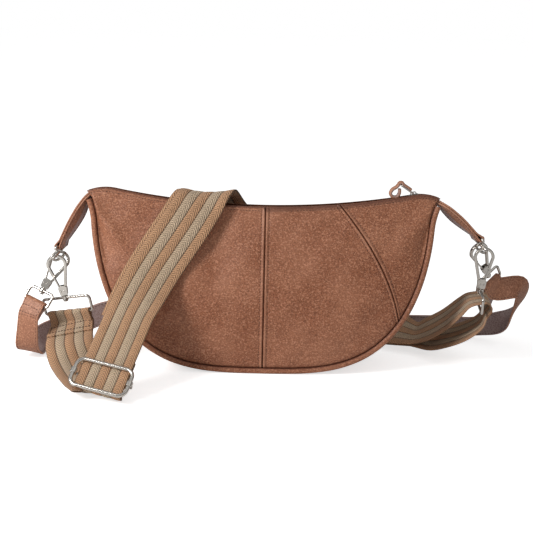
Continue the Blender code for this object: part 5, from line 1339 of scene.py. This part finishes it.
def buildZip():
    # two woven tapes, two rows of close teeth and two pressed stops
    looks, reach = zipLooks, zipLooks["toothReach"]
    end = looks["halfLength"] + looks["stop"] + playGap
    x = np.linspace(-end, end, 200)
    z = zipArc(x)
    share = np.linspace(0.0, 1.0, 9)[None, :]
    bow = looks["tapeBow"] * np.sin(share * math.pi)
    half = looks["tape"] / 2 * (1 - 0.25 * np.cos(share * math.pi * 8) ** 2)
    wall = faceDepth(x, z) - bag["leather"] - playGap
    for name, side in (("Front", -1), ("Back", 1)):
        y = side * ((reach + playGap) * (1 - share) + wall[:, None] * share)
        grids = [np.stack([np.broadcast_to(x[:, None], y.shape), y, z[:, None] + bow + face * half], axis=-1)
                 for face in (1, -1)]
        addPiece("zipTape" + name, shellPart(*grids), zipCloth, "bag",
                 ("zip_tape_" + name.lower(),))
    shape, faces = toothShape()
    for name, side, shift in (("Front", -1, 0.0), ("Back", 1, 0.5)):
        spots = np.arange(-looks["halfLength"] + looks["pitch"] * (0.5 + shift), looks["halfLength"] - 0.001,
                          looks["pitch"])
        off = np.full_like(spots, side * reach * looks["toothPlace"])
        centre = np.stack([spots, off, zipArc(spots)], axis=1)
        tilt = np.arcsin(spots / bag["mouthRadius"])
        level = np.zeros_like(tilt)
        along = np.stack([np.cos(tilt), level, np.sin(tilt)], axis=1)
        out = np.stack([-np.sin(tilt), level, np.cos(tilt)], axis=1)
        spine = np.stack([x, np.full_like(z, side * (reach - playGap)), z], axis=1)[3:-3]
        section = roundRect(looks["spine"], looks["toothHeight"] * looks["spineShare"], looks["spine"] / 3)
        part = joined([studs(centre, along, out, shape, faces),
                       sweepPart(spine, (0.0, 1.0, 0.0), (0.0, 0.0, 1.0), section)])
        addPiece("zipTeeth" + name, part, zipNylon, "bag", ("zip_teeth_" + name.lower(),),
                 sharp=50)
    half = looks["stop"] / 2
    clip = straightBar((-half, 0, 0), (half, 0, 0), 2 * reach, 2 * looks["tape"], 0.0004)
    for name, sign in (("left", -1), ("right", 1)):
        matrix = zipFrame(sign * (looks["halfLength"] + playGap + half))
        addMetal("zipStop" + name.title(), placed(clip, matrix), "bag", "zip_stop_" + name, sharp=40)


def sliderParts(inner, reach):
    # two plates with wide shoulders in front, a lip on each side of each, a wedge and a bridge on top
    looks = zipLooks
    length, wide, top, half = looks["sliderLength"], looks["sliderHalf"], looks["bridge"], looks["bridgeHalf"]
    outline = roundedLoop([(-length / 2, -wide * 0.74), (length / 2, -wide * 0.98), (length / 2, wide * 0.98),
                           (-length / 2, wide * 0.74)], [0.0016, 0.0022, 0.0022, 0.0016], 6)
    parts = [slab(levelPath(outline, low), levelPath(outline, high))
             for low, high in ((inner, reach), (-reach, -inner))]
    for face in (-1, 1):
        height = face * ((inner + looks["lip"]) / 2 + 0.0001)
        for side in (-1, 1):
            start, end = [(length * along, side * wide * off, height)
                          for along, off in ((-0.36, 0.70), (0.30, 0.90))]
            parts.append(straightBar(start, end, looks["lip"], inner - 0.0006, 0.0002))
    start, end = (-length * 0.42, 0, 0), (length * 0.42, 0, 0)
    parts.append(straightBar(start, end, 0.0005, 2 * inner + 0.0004, 0.0001))
    foot, crown = reach - 0.0006, reach + top - 0.0005
    arch = roundedLoop([(-half, foot), (-half, crown), (half, crown), (half, foot)],
                       [noRound, 0.0014, 0.0014, noRound])
    parts.append(wirePart(flatPath(arch), (0, 1, 0), roundRect(0.0009, 0.0018, 0.0003), False))
    return parts


def buildSliderAndPull():
    # the slider, a wire link in its bridge and a leather thong curled round the link
    looks, link, thick = zipLooks, zipLooks["link"], zipLooks["thongThick"]
    matrix = zipFrame(looks["slider"])
    inner = looks["toothHeight"] / 2 + playGap
    slider = joined(sliderParts(inner, inner + looks["sliderWall"]))
    addMetal("zipSlider", placed(slider, matrix), "slider", "zip_slider", sharp=40)
    lean = math.radians(looks["lean"])
    towards = matrix[:, 0] * math.cos(lean) - matrix[:, 2] * math.sin(lean)
    out = matrix[:, 2] * math.cos(lean) + matrix[:, 0] * math.sin(lean)
    pullFrame = np.stack([towards, matrix[:, 1], out, joints["zip_pull_swing"]["pos_m"]], axis=1)
    half = looks["linkWidth"] / 2
    loop = roundedLoop([(0, -half), (0, half), (-link, half), (-link, -half)], [2 * looks["wire"]] * 4)
    wire = wirePart(levelPath(loop), (0, 0, 1), circle(looks["wire"], 16))
    addMetal("pullLink", placed(wire, pullFrame), "zip_pull", "zip_pull_link")
    ahead, up, side = np.array([-1.0, 0, 0]), np.array([0, 0, 1.0]), np.array([0.0, 1.0, 0.0])
    legs, curl = [withWidth(np.array([(-a, 0.0, b) for a, b in table]) * link, side)
                  for table in (thongLegs, thongLoop)]
    turn = arcRows(ahead * link, ahead, up, looks["wire"] + playGap + thick / 2, side, 90, -30, 7)
    rows = faced(np.concatenate([smoothRows(np.concatenate([legs, turn[:1]]), looks["step"]), turn[1:],
                                 smoothRows(np.concatenate([turn[-1:], curl]), looks["step"])[1:]]))
    profile, worn = leatherSection(15, looks["thong"], thick)
    masks = {"wear": (worn * 0.8, worn * 0.8), "inside": (0.0, 0.6)}
    part = ribbonPart(rows, profile, looks["thong"] / 2, thick, masks)[0]
    addPiece("pullThong", placed(part, pullFrame), strapLeather, "zip_pull",
             ("zip_pull_thong",))


buildRings()
buildHooks()
buildBuckle()
buildZip()
buildSliderAndPull()
print("hardware and zip built")


# floor, light and camera

stage = {"floor": (0.93, 0.93, 0.93, 1), "floorDark": (0.88, 0.88, 0.88, 1), "size": 6.0, "key": 11.5,
         "keySize": 0.40, "keyAt": (-0.95, -0.62, 0.78), "fill": 2.5, "fillSize": 1.6,
         "fillAt": (1.0, -1.1, 1.6), "world": 0.32, "low": 0.25, "glow": 0.66}
view = {"aim": (0.0045, -0.040, 0.1132), "distance": 1.100, "elevation": 15.0, "roll": 1.3, "focal": 1100.0,
        "pixels": 533.0, "sensor": 36.0}


def addObject(name, data):
    # an object in the scene for some data
    thing = bpy.data.objects.new(name, data)
    bpy.context.scene.collection.objects.link(thing)
    return thing


def whiteFloor():
    # a white floor that keeps the shadow: a glow is added to it for the camera alone
    mesh = bpy.data.meshes.new("floor")
    size = stage["size"]
    corners = [(-size, -size, 0), (size, -size, 0), (size, size, 0), (-size, size, 0)]
    mesh.from_pydata(corners, [], [(0, 1, 2, 3)])
    material, tree, shader, where = newMaterial("floorPaper", Roughness=0.9)
    paper = scaled(tree, noise(tree, where["Object"], 30.0), 0.3)
    feed(tree, shader, Base_Color=mixColour(tree, paper, stage["floor"], stage["floorDark"]))
    glow = node(tree, "Emission", Strength=stage["glow"]).outputs[0]
    both = node(tree, "AddShader", i0=shader.outputs[0], i1=glow).outputs[0]
    seen = node(tree, "LightPath").outputs["Is Camera Ray"]
    mix = node(tree, "MixShader", i0=seen, i1=shader.outputs[0], i2=both).outputs[0]
    feed(tree, tree.nodes["Material Output"], Surface=mix)
    mesh.materials.append(material)
    floor = addObject("floor", mesh)


def lamp(name, at, size, power):
    # a soft square lamp that faces the bag
    data = bpy.data.lights.new(name, "AREA")
    data.size, data.energy = size, power
    back = unit(np.subtract(at, view["aim"]))
    turn = frameOf(at, np.cross((0, 0, 1.0), back), back)
    addObject(name, data).matrix_world = Matrix([*turn.tolist(), [0, 0, 0, 1]])


def whiteWorld():
    # even pale light, brighter from above; plain white where the camera looks past the floor
    world = bpy.data.worlds.new("studio")
    bpy.context.scene.world = world
    world.use_nodes = True
    tree = world.node_tree
    where = node(tree, "TexCoord").outputs["Generated"]
    high = node(tree, "SeparateXYZ", Vector=where).outputs["Z"]
    sky = scaled(tree, ramp(tree, high, 0.05, 0.75), stage["world"] * (1 - stage["low"]) * 1.5,
                 stage["world"] * stage["low"])
    seen = node(tree, "LightPath").outputs["Is Camera Ray"]
    strength = node(tree, "Mix", {"data_type": "FLOAT"}, i0=seen, i2=sky, i3=1.0).outputs[0]
    feed(tree, tree.nodes["Background"], Color=(1, 1, 1, 1), Strength=strength)


def placeCamera():
    # back along the view, up square to it, both turned by the roll; focal length in the photo's pixels
    tilt, roll = math.radians(view["elevation"]), math.radians(view["roll"])
    back = np.array([0.0, -math.cos(tilt), math.sin(tilt)])
    right = np.array([1.0, 0.0, 0.0])
    up = np.cross(back, right)
    x = math.cos(roll) * right + math.sin(roll) * up
    y = -math.sin(roll) * right + math.cos(roll) * up
    at = np.array(view["aim"]) + back * view["distance"]
    data = bpy.data.cameras.new("camera")
    data.sensor_width = view["sensor"]
    data.lens = view["sensor"] * view["focal"] / view["pixels"]
    data.clip_start, data.clip_end = 0.01, 50.0
    camera = addObject("camera", data)
    camera.matrix_world = Matrix([*np.stack([x, y, back, at], axis=1).tolist(), [0, 0, 0, 1]])
    bpy.context.scene.camera = camera


whiteFloor()
lamp("keyLamp", stage["keyAt"], stage["keySize"], stage["key"])
lamp("fillLamp", stage["fillAt"], stage["fillSize"], stage["fill"])
whiteWorld()
placeCamera()
bpy.context.scene.view_settings.view_transform = "Standard"

print("scene ready")
